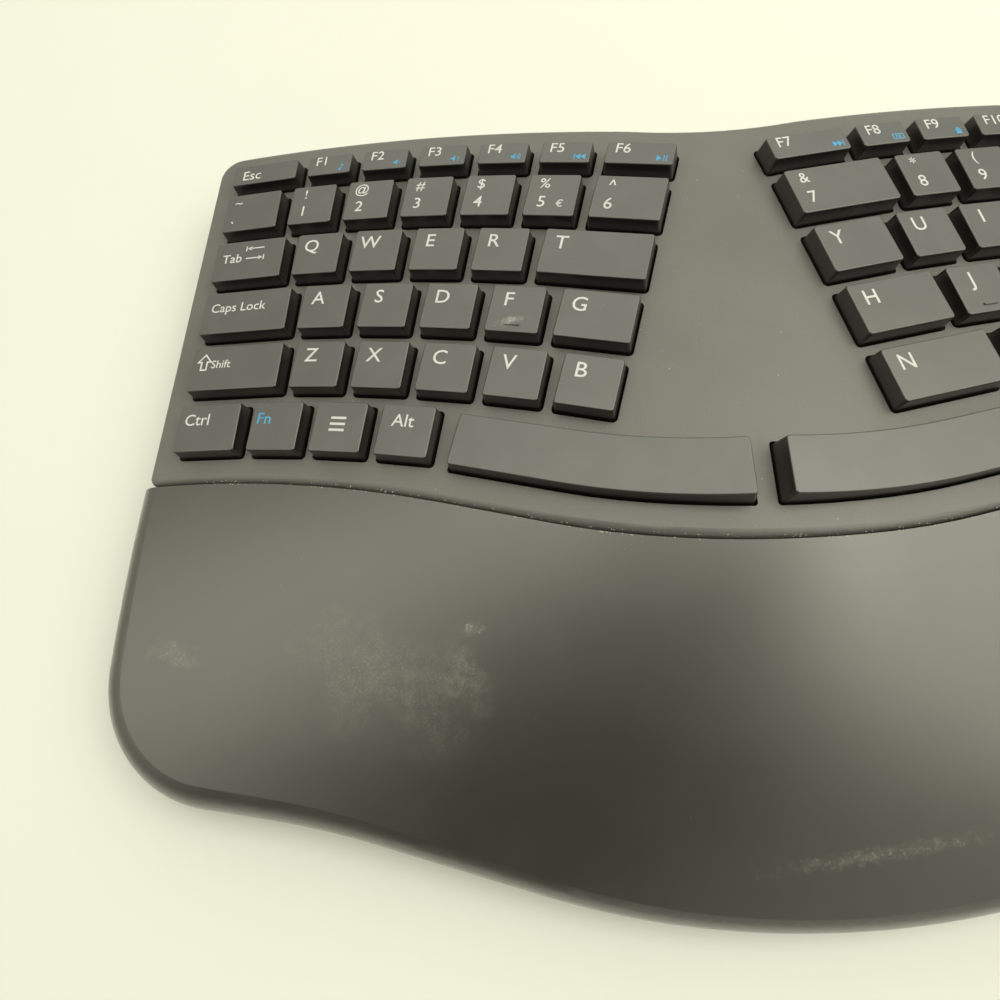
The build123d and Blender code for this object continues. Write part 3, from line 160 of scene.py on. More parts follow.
class Surface(Nodes):
    """One procedural material: a principled shader and the nodes that feed it."""

    def __init__(self, name: str) -> None:
        """Makes the empty material with its shader and its place on the object."""
        self.material = bpy.data.materials.new(name)
        self.material.use_nodes = True
        super().__init__(self.material.node_tree)
        self.shader = self.add("ShaderNodeBsdfPrincipled")
        self.add("ShaderNodeOutputMaterial", {"Surface": self.shader.outputs["BSDF"]})
        self.place = self.add("ShaderNodeTexCoord").outputs["Object"]

    def noise(self, size: float, detail: float, vector: Value | None = None) -> Value:
        """Cloudy value from 0 to 1 whose lumps are about size millimetres across."""
        values = {"Vector": vector or self.place, "Scale": 1 / (size * MM), "Detail": detail}
        return self.add("ShaderNodeTexNoise", values).outputs["Fac"]

    def blend(self, cloud: Value, base: Colour, light: Colour) -> Value:
        """Colour that goes from the base to the light tone with a cloud, over its middle."""
        return self.mix(self.ramp(cloud, 0.3, 0.7), base, light)

    def specks(self, pitch: float, radius: float, share: float) -> Value:
        """Scattered round grains.

        Each cell of a random mosaic holds one grain at its point, and only a share of them shows.

        Args:
            pitch: mean distance between the mosaic's points, millimetres.
            radius: radius of a grain, millimetres.
            share: part of the points that carry a grain, 0 to 1.

        Returns:
            The cover, 0 to 1.
        """
        wobble = self.noise(radius * 1.5, 1.0)
        mosaic = self.add("ShaderNodeTexVoronoi", {"Vector": self.place, "Scale": 1 / (pitch * MM)})
        edge = self.calc("ADD", mosaic.outputs["Distance"], self.calc("MULTIPLY", wobble, radius / pitch))
        disc = self.ramp(edge, radius / pitch, 1.8 * radius / pitch, 1.0, 0.0)
        pick = self.add("ShaderNodeSeparateColor", {0: mosaic.outputs["Color"]}).outputs[0]
        return self.calc("MULTIPLY", disc, self.ramp(pick, 1 - share - 0.01, 1 - share + 0.01))

    def patch(self, centre: Pair, reach: Pair, turn: float = 0.0) -> Value:
        """Soft oval seen from above.

        The place is centred, turned and divided by the reaches; the cover falls with its length from 1 to 0.

        Args:
            centre: middle of the oval, millimetres.
            reach: half its length and half its width, millimetres.
            turn: its slant, degrees.

        Returns:
            The cover, 0 to 1.
        """
        values = {
            "Vector": self.place,
            "Location": (centre[0] * MM, centre[1] * MM, 0.0),
            "Rotation": (0.0, 0.0, math.radians(turn)),
            "Scale": (reach[0] * MM, reach[1] * MM, 10.0),
        }
        local = self.add("ShaderNodeMapping", values, vector_type="TEXTURE").outputs[0]
        ragged = self.ramp(self.noise(reach[1] * 0.8, 3.0), 0.25, 0.75, -0.35, 0.35)
        return self.ramp(self.calc("ADD", self.length(local), ragged), 0.1, 1.0, 1.0, 0.0)

    def rub(self, place: "Wear") -> Value:
        """Cover of a worn place: its oval times a soft haze and fine specks, times its strength."""
        oval = self.patch(place.centre, place.reach, place.turn)
        haze = self.ramp(self.noise(place.grain * 6, 4.0), 0.30, 0.75, 0.1, 0.6)
        fleck = self.ramp(self.noise(place.grain, 2.0), 0.50, 0.72, 0.0, 0.8)
        cover = self.calc("MULTIPLY", oval, self.calc("ADD", haze, fleck))
        return self.calc("MULTIPLY", cover, place.strength)

    def bump(self, height: Value, depth: float) -> None:
        """Gives the shader a relief of the height times depth millimetres."""
        node = self.add("ShaderNodeBump", {"Height": height, "Distance": depth * MM})
        self.feed(self.shader.inputs["Normal"], node.outputs["Normal"])

    def finish(self, **inputs: object) -> bpy.types.Material:
        """Feeds the shader's inputs, named with underscores for spaces, and returns the material."""
        for key, value in inputs.items():
            self.feed(self.shader.inputs[key.replace("_", " ")], value)
        return self.material


@dataclass(frozen=True)
class Finish:
    """What the finishes have in common: a name, a darker tone and a lighter one."""

    name: str
    base: Colour
    light: Colour


@dataclass(frozen=True)
class MouldedPlastic(Finish):
    """Fine-grained moulded plastic with settled dust."""

    roughness: float = 0.5
    grain: float = 0.45         # size of the moulded grain, millimetres
    relief: float = 0.02        # its depth, millimetres
    dust: float = 0.10          # share of the mosaic's points with a dust grain
    specular: float = 0.5

    def make(self) -> bpy.types.Material:
        """Returns the material."""
        surface = Surface(self.name)
        grain = surface.noise(self.grain, 3.0)
        cloud = surface.noise(28.0, 3.0)
        colour = surface.blend(cloud, self.base, self.light)
        colour = surface.mix(surface.ramp(grain, 0.56, 0.74, 0.0, 0.55), colour, scaled(self.base, 0.72))
        dust = surface.most(surface.specks(2.6, 0.16, self.dust), surface.specks(1.1, 0.07, self.dust))
        colour = surface.mix(surface.calc("MULTIPLY", dust, 0.75), colour, tone(205, 203, 190))
        rough = surface.ramp(cloud, 0.3, 0.7, self.roughness - 0.04, self.roughness + 0.05)
        surface.bump(grain, self.relief)
        return surface.finish(Base_Color=colour, Roughness=rough, Specular_IOR_Level=self.specular)


@dataclass(frozen=True)
class Wear:
    """A rubbed or dusty place seen from above, in millimetres."""

    centre: Pair
    reach: Pair
    turn: float
    strength: float
    grain: float                # size of its finest flecks


@dataclass(frozen=True)
class KeyPlastic:
    """Key caps: a coat on top, and smoother skirts whose darker tone is painted shade."""

    name: str
    top: Colour
    # the skirts' darker tone: painted shade
    skirt_shade: Colour
    dust: Wear                  # the dust that clings round the left homing bar
    bars: tuple[Pair, ...]      # middles of the homing bars, coated down to their feet so that their sides get no painted shade
    bar_reach: Pair = (5.0, 2.4)

    def make(self) -> bpy.types.Material:
        """Returns the material. The coat covers what faces up: the normal's height over 0.8 to 0.93; what
        faces sideways gets the skirts' darker tone, which is painted shade.
        """
        surface = Surface(self.name)
        normal = surface.add("ShaderNodeNewGeometry").outputs["Normal"]
        rise = surface.add("ShaderNodeSeparateXYZ", {0: normal}).outputs["Z"]
        bars = (surface.patch(bar, self.bar_reach) for bar in self.bars)
        # 1 on the coated tops and the homing bars, 0 on the sideways-facing skirts, which take painted shade
        coat_and_shade_mask = surface.most(surface.ramp(rise, 0.80, 0.93), *bars)
        grain = surface.noise(0.3, 2.0)
        cloud = surface.noise(9.0, 3.0)
        top = surface.mix(surface.ramp(cloud, 0.35, 0.75), self.top, scaled(self.top, 1.18))
        # painted shade: the skirts get the darker tone, the tops keep their own tone
        colour = surface.mix(coat_and_shade_mask, self.skirt_shade, top)
        dust = surface.most(surface.specks(2.2, 0.09, 0.10), surface.specks(5.0, 0.16, 0.08))
        dust = surface.most(surface.calc("MULTIPLY", dust, 0.55), surface.rub(self.dust))
        colour = surface.mix(dust, colour, tone(190, 189, 178))
        rough = surface.ramp(coat_and_shade_mask, 0.0, 1.0, 0.30, 0.43)
        surface.bump(grain, 0.008)
        return surface.finish(Base_Color=colour, Roughness=rough, IOR=1.6, Specular_IOR_Level=1.0)


@dataclass(frozen=True)
class SoftSkin(Finish):
    """Smooth soft-touch skin with scuffs, a scratch and small white specks."""

    scuff: Colour
    wear: tuple[Wear, ...]

    def make(self) -> bpy.types.Material:
        """Returns the material. Each worn place is a soft oval broken up by noise."""
        surface = Surface(self.name)
        cloud = surface.noise(45.0, 4.0)
        fine = surface.noise(0.5, 3.0)
        worn = surface.most(*(surface.rub(place) for place in self.wear))
        specks = surface.most(surface.specks(7.0, 0.13, 0.12), surface.specks(2.4, 0.07, 0.05))
        colour = surface.mix(worn, surface.blend(cloud, self.base, self.light), self.scuff)
        colour = surface.mix(surface.calc("MULTIPLY", specks, 0.8), colour, tone(214, 212, 200))
        smooth = surface.ramp(cloud, 0.3, 0.7, 0.37, 0.43)
        rough = surface.calc("ADD", smooth, surface.calc("MULTIPLY", worn, 0.15))
        surface.bump(fine, 0.004)
        return surface.finish(
            Base_Color=colour, Roughness=rough, IOR=1.6, Specular_IOR_Level=1.0,
            Coat_Weight=1.0, Coat_Roughness=0.38,
        )


@dataclass(frozen=True)
class PlainMatter(Finish):
    """Rubber, film, board, dust or print: two tones in soft clouds, with a fine relief."""

    roughness: float
    grain: float = 0.8
    relief: float = 0.01

    def make(self) -> bpy.types.Material:
        """Returns the material."""
        surface = Surface(self.name)
        grain = surface.noise(self.grain, 2.0)
        colour = surface.blend(surface.noise(6.0, 3.0), self.base, self.light)
        rough = surface.ramp(grain, 0.3, 0.7, self.roughness - 0.05, self.roughness + 0.05)
        surface.bump(grain, self.relief)
        return surface.finish(Base_Color=colour, Roughness=rough)


class BrushedSteel(Finish):
    """Sheet or wire steel with drawn lines along one direction."""

    def make(self) -> bpy.types.Material:
        """Returns the material. The lines are noise stretched forty times along X."""
        surface = Surface(self.name)
        values = {"Vector": surface.place, "Scale": (1.0, 40.0, 40.0)}
        drawn = surface.add("ShaderNodeMapping", values).outputs[0]
        lines = surface.noise(14.0, 3.0, drawn)
        colour = surface.blend(lines, self.base, self.light)
        rough = surface.ramp(lines, 0.3, 0.7, 0.28, 0.42)
        surface.bump(lines, 0.005)
        return surface.finish(Base_Color=colour, Roughness=rough, Metallic=1.0)


class Ink(Enum):
    """Printing colours of the legends, by material slot."""

    WHITE = 0
    BLUE = 1


# The small drawn marks.
Symbol = Enum(
    "Symbol", "NOTE SPEAKER SOFTER LOUDER BACK PLAY NEXT CARD HOUSE SHIFT TAB BARS UP DOWN LEFT RIGHT"
)


@dataclass(frozen=True)
class Mark:
    """One printed mark, in millimetres from the left and back edges of a key's top.

    A negative left is measured from the right edge. Words stand on a line at top plus height.
    """

    content: str | Symbol
    left: float
    top: float
    height: float
    ink: Ink = Ink.WHITE
    middle: bool = False        # whether left is the place of the mark's middle


Legend = tuple[Mark, ...]


def skin(rings: np.ndarray, closed: bool = False) -> Shape:
    """A skin over rings of corners, with a lid at both ends.

    Args:
        rings: corners by ring, place on the ring and axis.
        closed: whether the last ring joins the first, so that there are no lids.

    Returns:
        Corners and faces.
    """
    count, size = rings.shape[:2]
    start = size * np.arange(count if closed else count - 1)[:, None]
    after = (start + size) % (size * count)
    side = np.arange(size)[None, :]
    follow = (side + 1) % size
    quads = np.stack((start + side, start + follow, after + follow, after + side), axis=2)
    faces = [tuple(quad) for quad in quads.reshape(-1, 4).tolist()]
    if not closed:
        faces += [tuple(range(size)), tuple(range(size * count - 1, size * (count - 1) - 1, -1))]
    return rings.reshape(-1, 3), faces


def ribbon(points: list[Pair], width: float, closed: bool = False) -> Shape:
    """A stroke: a rectangle carried along a path, with mitred corners and heights 1 and -1.

    At each point the side shift is half the width along the mean of the two runs' normals, divided by
    the cosine of half the turn. A closed path returns to its start.
    """
    path = np.array(points, dtype=float)
    runs = np.roll(path, -1, axis=0) - path
    if not closed:
        runs[-1] = runs[-2]
    runs /= np.linalg.norm(runs, axis=1)[:, None]
    before = np.roll(runs, 1, axis=0)
    if not closed:
        before[0] = runs[0]
    normals = np.stack((-runs[:, 1] - before[:, 1], runs[:, 0] + before[:, 0]), axis=1)
    normals /= np.maximum(np.linalg.norm(normals, axis=1)[:, None], 1e-6)
    lean = np.maximum(-normals[:, 0] * runs[:, 1] + normals[:, 1] * runs[:, 0], 0.5)
    shift = normals * (width / 2 / lean)[:, None]
    corners = np.empty((len(path), 4, 3))
    corners[:, :2, :2] = (path + shift)[:, None]
    corners[:, 2:, :2] = (path - shift)[:, None]
    corners[:, :, 2] = (-1.0, 1.0, 1.0, -1.0)
    return skin(corners, closed)


def plate(points: list[Pair]) -> Shape:
    """A filled outline: the same outline at heights 1 and -1, with a wall between them."""
    corners = np.empty((2, len(points), 3))
    corners[:, :, :2] = points
    corners[:, :, 2] = ((1.0,), (-1.0,))
    return skin(corners)


def box(left: float, right: float, low: float = 0.0, high: float = 1.0) -> Shape:
    """A filled rectangle."""
    return plate([(left, low), (right, low), (right, high), (left, high)])


def arc(centre: Pair, radius: float, start: float, end: float, count: int = 9) -> list[Pair]:
    """Points along an arc between two angles in degrees: centre + radius (cos, sin)."""
    angles = np.radians(np.linspace(start, end, count))
    return (np.array(centre) + radius * np.column_stack((np.cos(angles), np.sin(angles)))).tolist()


def join(shapes: Iterable[Shape]) -> Shape:
    """Several shapes as one, each face list shifted past the corners before it."""
    corners, faces, start = [], [], 0
    for points, polygons in shapes:
        corners.append(points)
        faces += [tuple(index + start for index in polygon) for polygon in polygons]
        start += len(points)
    return np.concatenate(corners), faces


def arrow(turn: float) -> Shape:
    """An arrow one unit long that points up, turned clockwise by a number of degrees about its middle."""
    shaft = ribbon([(0.5, 0.0), (0.5, 0.7)], 0.12)
    head = plate([(0.5, 1.0), (0.2, 0.55), (0.8, 0.55)])
    corners, faces = join([shaft, head])
    angle = math.radians(turn)
    flat = corners[:, :2] - 0.5
    spin = np.array(((math.cos(angle), -math.sin(angle)), (math.sin(angle), math.cos(angle))))
    corners[:, :2] = flat @ spin + 0.5
    return corners, faces


def drawings() -> dict[Symbol, Shape]:
    """Every drawn mark in a box one unit high, with its left edge at 0."""
    speaker = plate([(0, 0.33), (0.24, 0.33), (0.55, 0.02), (0.55, 0.98), (0.24, 0.67), (0, 0.67)])
    waves = [ribbon(arc((0.5, 0.5), 0.3 + 0.2 * step, -42, 42), 0.09) for step in range(3)]
    wedge = [(0.0, 0.0), (0.7, 0.5), (0.0, 1.0)]
    shift = [(0.42, 0.95), (0.8, 0.52), (0.58, 0.52), (0.58, 0.06), (0.26, 0.06), (0.26, 0.52), (0.04, 0.52)]
    parts = {
        Symbol.NOTE: (
            plate(arc((0.22, 0.17), 0.19, 0, 330, 12)),
            ribbon([(0.38, 0.15), (0.38, 0.95), (0.78, 0.72)], 0.11),
        ),
        Symbol.SPEAKER: (speaker, ribbon([(0.72, 0.36), (1.0, 0.64)], 0.1)),
        Symbol.SOFTER: (speaker, waves[1]),
        Symbol.LOUDER: (speaker, *waves),
        Symbol.BACK: (box(0, 0.14), *(plate([(right - x, y) for x, y in wedge]) for right in (0.9, 1.62))),
        Symbol.PLAY: (plate(wedge), box(0.9, 1.05), box(1.25, 1.4)),
        Symbol.NEXT: (plate(wedge), plate([(x + 0.72, y) for x, y in wedge]), box(1.48, 1.62)),
        Symbol.CARD: (
            ribbon([(0.06, 0.1), (1.6, 0.1), (1.6, 0.9), (0.06, 0.9)], 0.13, True),
            ribbon([(0.5, 0.36), (1.16, 0.36), (1.16, 0.64), (0.5, 0.64)], 0.1, True),
        ),
        Symbol.HOUSE: (plate([(0.5, 1.0), (0.0, 0.52), (1.0, 0.52)]), box(0.16, 0.84, 0.0, 0.46)),
        Symbol.SHIFT: (ribbon(shift, 0.085, True),),
        Symbol.TAB: (
            ribbon([(0.05, 0.67), (0.05, 0.99)], 0.07),
            ribbon([(0.25, 0.83), (1.1, 0.83)], 0.07),
            plate([(0.1, 0.83), (0.36, 0.70), (0.36, 0.96)]),
            ribbon([(1.15, 0.03), (1.15, 0.35)], 0.07),
            ribbon([(0.1, 0.19), (0.95, 0.19)], 0.07),
            plate([(1.1, 0.19), (0.84, 0.06), (0.84, 0.32)]),
        ),
        Symbol.BARS: tuple(ribbon([(0, y), (1, y)], 0.16) for y in (0.1, 0.5, 0.9)),
        Symbol.UP: (arrow(0),),
        Symbol.RIGHT: (arrow(90),),
        Symbol.DOWN: (arrow(180),),
        Symbol.LEFT: (arrow(270),),
    }
    return {symbol: join(shapes) for symbol, shapes in parts.items()}


class Lettering:
    """Words as flat solids one capital high, each made once from the built-in type."""

    weight = 0.004              # how far the type's outline is set out, in its own units

    def __init__(self) -> None:
        """Measures the height of a capital."""
        self.made: dict[str, Shape] = {}
        self.capital = 1.0
        self.capital = float(self.word("H")[0][:, 1].max())
        self.made.clear()

    def word(self, text: str) -> Shape:
        """Corners and faces of a word that starts at 0 and stands on the line, with heights 1 and -1."""
        if text not in self.made:
            curve = bpy.data.curves.new("word", "FONT")
            curve.body = text
            curve.resolution_u = 3
            curve.offset = self.weight
            curve.extrude = 0.01
            carrier = put("word", curve)
            graph = bpy.context.evaluated_depsgraph_get()
            mesh = bpy.data.meshes.new_from_object(carrier.evaluated_get(graph))
            corners = np.empty(3 * len(mesh.vertices))
            mesh.vertices.foreach_get("co", corners)
            corners = corners.reshape(-1, 3)
            faces = [tuple(polygon.vertices) for polygon in mesh.polygons]
            corners[:, 0] -= corners[:, 0].min()
            corners[:, :2] /= self.capital
            corners[:, 2] = np.sign(corners[:, 2])
            bpy.data.objects.remove(carrier)
            bpy.data.curves.remove(curve)
            bpy.data.meshes.remove(mesh)
            self.made[text] = (corners, faces)
        return self.made[text]


def add_piece(
    name: str, shape: Shape, body: str,
    finishes: list[bpy.types.Material], inks: np.ndarray | None = None,
) -> None:
    """Puts a finished mesh into the scene, in metres at the origin, with its faces turned outwards.

    Args:
        name: the piece's name.
        shape: corners in metres, and faces.
        body: the CAD body that it moves with.
        finishes: its materials.
        inks: material number of each face, or None for the first.
    """
    corners, faces = shape
    mesh = bpy.data.meshes.new(name)
    mesh.from_pydata(corners.tolist(), [], faces)
    if inks is not None:
        mesh.polygons.foreach_set("material_index", inks.astype(np.int32))
    work = bmesh.new()
    work.from_mesh(mesh)
    bmesh.ops.remove_doubles(work, verts=work.verts, dist=SAME_PLACE * MM)
    bmesh.ops.recalc_face_normals(work, faces=work.faces)
    work.to_mesh(mesh)
    work.free()
    mesh.polygons.foreach_set("use_smooth", np.zeros(len(mesh.polygons), dtype=bool))
    for finish in finishes:
        mesh.materials.append(finish)
    piece = put(name, mesh)
    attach(piece, body)


@dataclass(frozen=True)
class Deck:
    """One flat part of the deck, in metres, and the centre that its rows are drawn about."""

    origin: np.ndarray
    normal: np.ndarray
    fan: np.ndarray | None

    def up(self, place: np.ndarray) -> np.ndarray:
        """Direction away from the user at a place: from the fan's centre, or straight back."""
        if self.fan is None:
            return np.array((0.0, 1.0, 0.0))
        away = place - self.fan
        away -= self.normal * (away @ self.normal)
        return away / np.linalg.norm(away)

    def row(self, place: np.ndarray) -> float:
        """How far up the deck a row lies: distance from the fan's centre, or place up the plan."""
        return float(place[1]) if self.fan is None else float(np.linalg.norm(place - self.fan))


@dataclass(frozen=True)
class DeckForm:
    """Sizes of the tented deck, millimetres and degrees, as the CAD has them."""

    datum: Pair = (-79.5824, 18.3935)
    ridge: float = 43.0
    tent: float = 7.9
    fan_radius: float = 518.0
    fan_turn: float = 19.2
    side_height: float = 18.5282
    cap_proud: float = 4.5
    cap_edge: float = 0.35
    seam_front: float = 48.4
    seam_radius: float = 200.0
    seam_angle: float = 14.5
    seam_straight: float = 29.0
    seam_outer_radius: float = 328.1

    def half(self, side: int) -> Deck:
        """The left (-1) or right (1) half of the key tops' surface."""
        slope = math.radians(self.tent)
        turn = math.radians(self.fan_turn)
        across = np.array((math.cos(slope), 0.0, -side * math.sin(slope)))
        normal = np.array((side * math.sin(slope), 0.0, math.cos(slope)))
        origin = np.array((*self.datum, self.ridge)) + normal * self.cap_proud
        fan = origin + across * side * self.fan_radius * math.sin(turn)
        fan = fan - np.array((0.0, self.fan_radius * math.cos(turn), 0.0))
        return Deck(origin * MM, normal, fan * MM)

    def level(self) -> Deck:
        """The level side deck's key tops."""
        origin = np.array((*self.datum, self.side_height + self.cap_proud))
        return Deck(origin * MM, np.array((0.0, 0.0, 1.0)), None)

    def seam(self, run: np.ndarray) -> np.ndarray:
        """Points of the seam seen from above, in millimetres, at runs measured from the split line.

        The seam is an arc of the inner radius, a straight, and an arc of the outer radius back to level.
        """
        bend = math.radians(self.seam_angle)
        length = np.abs(run)
        inner = np.minimum(length / self.seam_radius, bend)
        straight = np.clip(length - self.seam_radius * bend, 0.0, self.seam_straight)
        past = np.clip(length - self.seam_radius * bend - self.seam_straight, 0.0, None)
        outer = np.maximum(bend - past / self.seam_outer_radius, 0.0)
        x = self.seam_radius * np.sin(inner) + straight * math.cos(bend)
        x = x + self.seam_outer_radius * (math.sin(bend) - np.sin(outer))
        y = self.seam_radius * (1 - np.cos(inner)) + straight * math.sin(bend)
        y = y + self.seam_outer_radius * (np.cos(outer) - math.cos(bend))
        return np.stack((np.sign(run) * x + self.datum[0], y - self.seam_front + self.datum[1]), axis=1)


@dataclass(frozen=True)
class KeyTop:
    """The top of one key: its middle, its directions and its size, in metres."""

    centre: np.ndarray
    right: np.ndarray
    up: np.ndarray
    normal: np.ndarray
    width: float
    depth: float

    def place(self, corners: np.ndarray) -> np.ndarray:
        """Puts points, in metres from the top's back left corner with y towards the back, on the key."""
        x = corners[:, 0:1] - self.width / 2
        y = corners[:, 1:2] + self.depth / 2
        return self.centre + x * self.right + y * self.up + corners[:, 2:3] * self.normal


def mesh_arrays(mesh: bpy.types.Mesh) -> tuple[np.ndarray, np.ndarray]:
    """Corner places and triangles of a mesh, with corners at the same place taken as one."""
    places = np.empty(3 * len(mesh.vertices))
    mesh.vertices.foreach_get("co", places)
    mesh.calc_loop_triangles()
    triangles = np.empty(3 * len(mesh.loop_triangles), dtype=np.int32)
    mesh.loop_triangles.foreach_get("vertices", triangles)
    steps = np.round(places.reshape(-1, 3) / (WELD * MM)).astype(np.int64)
    _, first, index = np.unique(steps, axis=0, return_index=True, return_inverse=True)
    return places.reshape(-1, 3)[first], index.reshape(-1)[triangles].reshape(-1, 3)


def find_tops(node: str, deck: Deck, edge: float) -> list[KeyTop]:
    """Finds the flat tops of a node's keys, from the back row to the front and from left to right.

    A top is a connected patch of triangles in the deck's plane. Labels spread along the triangles, the
    lowest of three winning, until nothing changes.

    Args:
        node: the CAD node.
        deck: the plane that its key tops lie in.
        edge: rounding of the top's edge, millimetres, which is part of its size.

    Returns:
        The tops in reading order.
    """
    places, triangles = mesh_arrays(frame["nodes"][node].data)
    flat = np.abs((places - deck.origin) @ deck.normal) < FLATNESS * MM
    triangles = triangles[flat[triangles].all(axis=1)]
    labels = np.arange(len(places))
    while True:
        spread = labels.copy()
        np.minimum.at(spread, triangles.ravel(), np.repeat(labels[triangles].min(axis=1), 3))
        spread = spread[spread]
        if (spread == labels).all():
            break
        labels = spread
    tops = []
    for label in np.unique(labels[triangles]):
        patch = places[labels == label]
        centre = (patch.min(axis=0) + patch.max(axis=0)) / 2
        up = deck.up(centre)
        right = np.cross(up, deck.normal)
        x, y = (patch - centre) @ right, (patch - centre) @ up
        centre = centre + right * (x.min() + x.max()) / 2 + up * (y.min() + y.max()) / 2
        width, depth = np.ptp(x) + 2 * edge * MM, np.ptp(y) + 2 * edge * MM
        if min(width, depth) > SMALLEST_TOP * MM:
            tops.append(KeyTop(centre, right, up, deck.normal, float(width), float(depth)))
    tops.sort(key=lambda top: -deck.row(top.centre))
    rows: list[list[KeyTop]] = []
    for top in tops:
        if not rows or deck.row(rows[-1][0].centre) - deck.row(top.centre) > ROW_STEP * MM:
            rows.append([])
        rows[-1].append(top)
    return [top for row in rows for top in sorted(row, key=lambda top: float(top.centre[0]))]


def letter(text: str) -> Legend:
    """A single large letter or sign."""
    return (Mark(text, 5.3, 2.4, 4.2, middle=True),)


def number(upper: str, lower: str, middle: float = 4.9) -> Legend:
    """A sign over a number."""
    return Mark(upper, middle, 1.6, 3.3, middle=True), Mark(lower, middle, 7.9, 3.7, middle=True)


def function(text: str, symbol: Symbol | None = None, reach: float = 5.2, height: float = 2.4) -> Legend:
    """A short name at the back left, with a small blue mark at the front right."""
    name = (Mark(text, 2.8, 0.8, 3.3),)
    return name if symbol is None else (*name, Mark(symbol, -reach, 6.8 - height, height, Ink.BLUE))


def word(text: str, left: float = 2.4, top: float = 3.6, height: float = 2.9) -> Legend:
    """A word near the back left corner."""
    return (Mark(text, left, top, height),)


SHIFT_LEGEND = (Mark(Symbol.SHIFT, 2.2, 2.6, 5.6), Mark("Shift", 7.0, 4.9, 2.5))
ALT_LEGEND = word("Alt", 3.4, 2.9, 3.5)
CTRL_LEGEND = word("Ctrl", 2.4, 3.2, 3.4)
FUNCTION_MARKS = (
    (Symbol.NOTE, 4.2), (Symbol.SPEAKER, 4.4), (Symbol.SOFTER, 4.6),
    (Symbol.LOUDER, 4.8), (Symbol.BACK, 4.9, 2.1), (Symbol.PLAY, 4.9, 2.1),
)

LEFT_LEGENDS: dict[str, Legend] = {
    "esc": (Mark("Esc", 4.0, 2.6, 3.6),),
    **{f"f{key}": function(f"F{key}", *mark) for key, mark in enumerate(FUNCTION_MARKS, 1)},
    "tilde": (Mark("~", 4.5, 1.6, 3.3, middle=True), Mark("`", 3.4, 10.6, 3.7, middle=True)),
    **{pair[1]: number(*pair) for pair in ("!1", "@2", "#3", "$4")},
    "5": (*number(*"%5"), Mark("€", 9.2, 9.2, 2.3)),
    "6": number(*"^6"),
    "tab": (Mark("Tab", 3.0, 5.0, 3.1), Mark(Symbol.TAB, 10.6, 2.3, 5.8)),
    "caps_lock": word("Caps Lock", 3.0, 4.2, 2.95),
    "shift": SHIFT_LEGEND,
    "ctrl": CTRL_LEGEND,
    "fn": (Mark("Fn", 1.9, 3.5, 3.3, Ink.BLUE),),
    "menu": (Mark(Symbol.BARS, 5.0, 4.4, 4.4),),
    "alt": ALT_LEGEND,
}
LEFT_LEGENDS.update({name: letter(name.upper()) for name in "qwertasdfgzxcvb"})

GROUP_LEGENDS: dict[str, tuple[Legend, ...]] = {
    "function_keys_right": (
        function("F7", Symbol.NEXT, 5.2, 2.1),
        function("F8", Symbol.CARD, 5.2, 2.1),
        function("F9", Symbol.HOUSE, 4.2),
        *(function(name) for name in ("F10", "F11", "F12", "Ins", "Num")),
    ),
    "number_keys_right": (
        *(number(*pair) for pair in ("&7", "*8", "(9", ")0", "_-", "+=")),
        word("Backspace"),
    ),
    "top_letter_keys_right": (
        *(letter(name) for name in "YUIOP"),
        *(number(*pair) for pair in ("{[", "}]", "|\\")),
    ),
    "home_letter_keys_right": (
        *(letter(name) for name in "HJKL"),
        *(number(*pair) for pair in (":;", "\"'")),
        word("Enter"),
    ),
    "bottom_keys_right": (
        *(letter(name) for name in "NM"),
        *(number(*pair) for pair in ("<,", ">.", "?/")),
        SHIFT_LEGEND,
        ALT_LEGEND,
        (Mark("Fn", 3.4, 3.5, 3.3, Ink.BLUE),),
        (Mark(Symbol.BARS, 7.0, 4.4, 4.4),),
        CTRL_LEGEND,
    ),
    "navigation_keys": (
        *(function(name) for name in ("Print", "Scroll", "Pause")),
        *(word(name, 1.8, 2.4, 2.3) for name in ("Insert", "Home", "PgUp", "Delete", "End", "PgDn")),
        *((Mark(symbol, 4.6, 4.2, 5.6),) for symbol in (Symbol.UP, Symbol.LEFT, Symbol.DOWN, Symbol.RIGHT)),
    ),
    "number_pad_keys": (
        function("Calc"),
        *((Mark(symbol, 5.0, 2.6, 2.4, Ink.BLUE),) for symbol in (Symbol.BACK, Symbol.PLAY, Symbol.NEXT)),
        word("Num", 2.2, 2.4, 2.6),
        *(letter(name) for name in "/*-789+456123"),
        word("Enter", 2.0, 3.0, 2.3),
        letter("0"),
        letter("."),
    ),
}
KEY_NODES = tuple(f"key_{name}" for name in LEFT_LEGENDS)
SPACE_BARS = ("key_space_left", "key_space_right")
LEVEL_GROUPS = ("navigation_keys", "number_pad_keys")

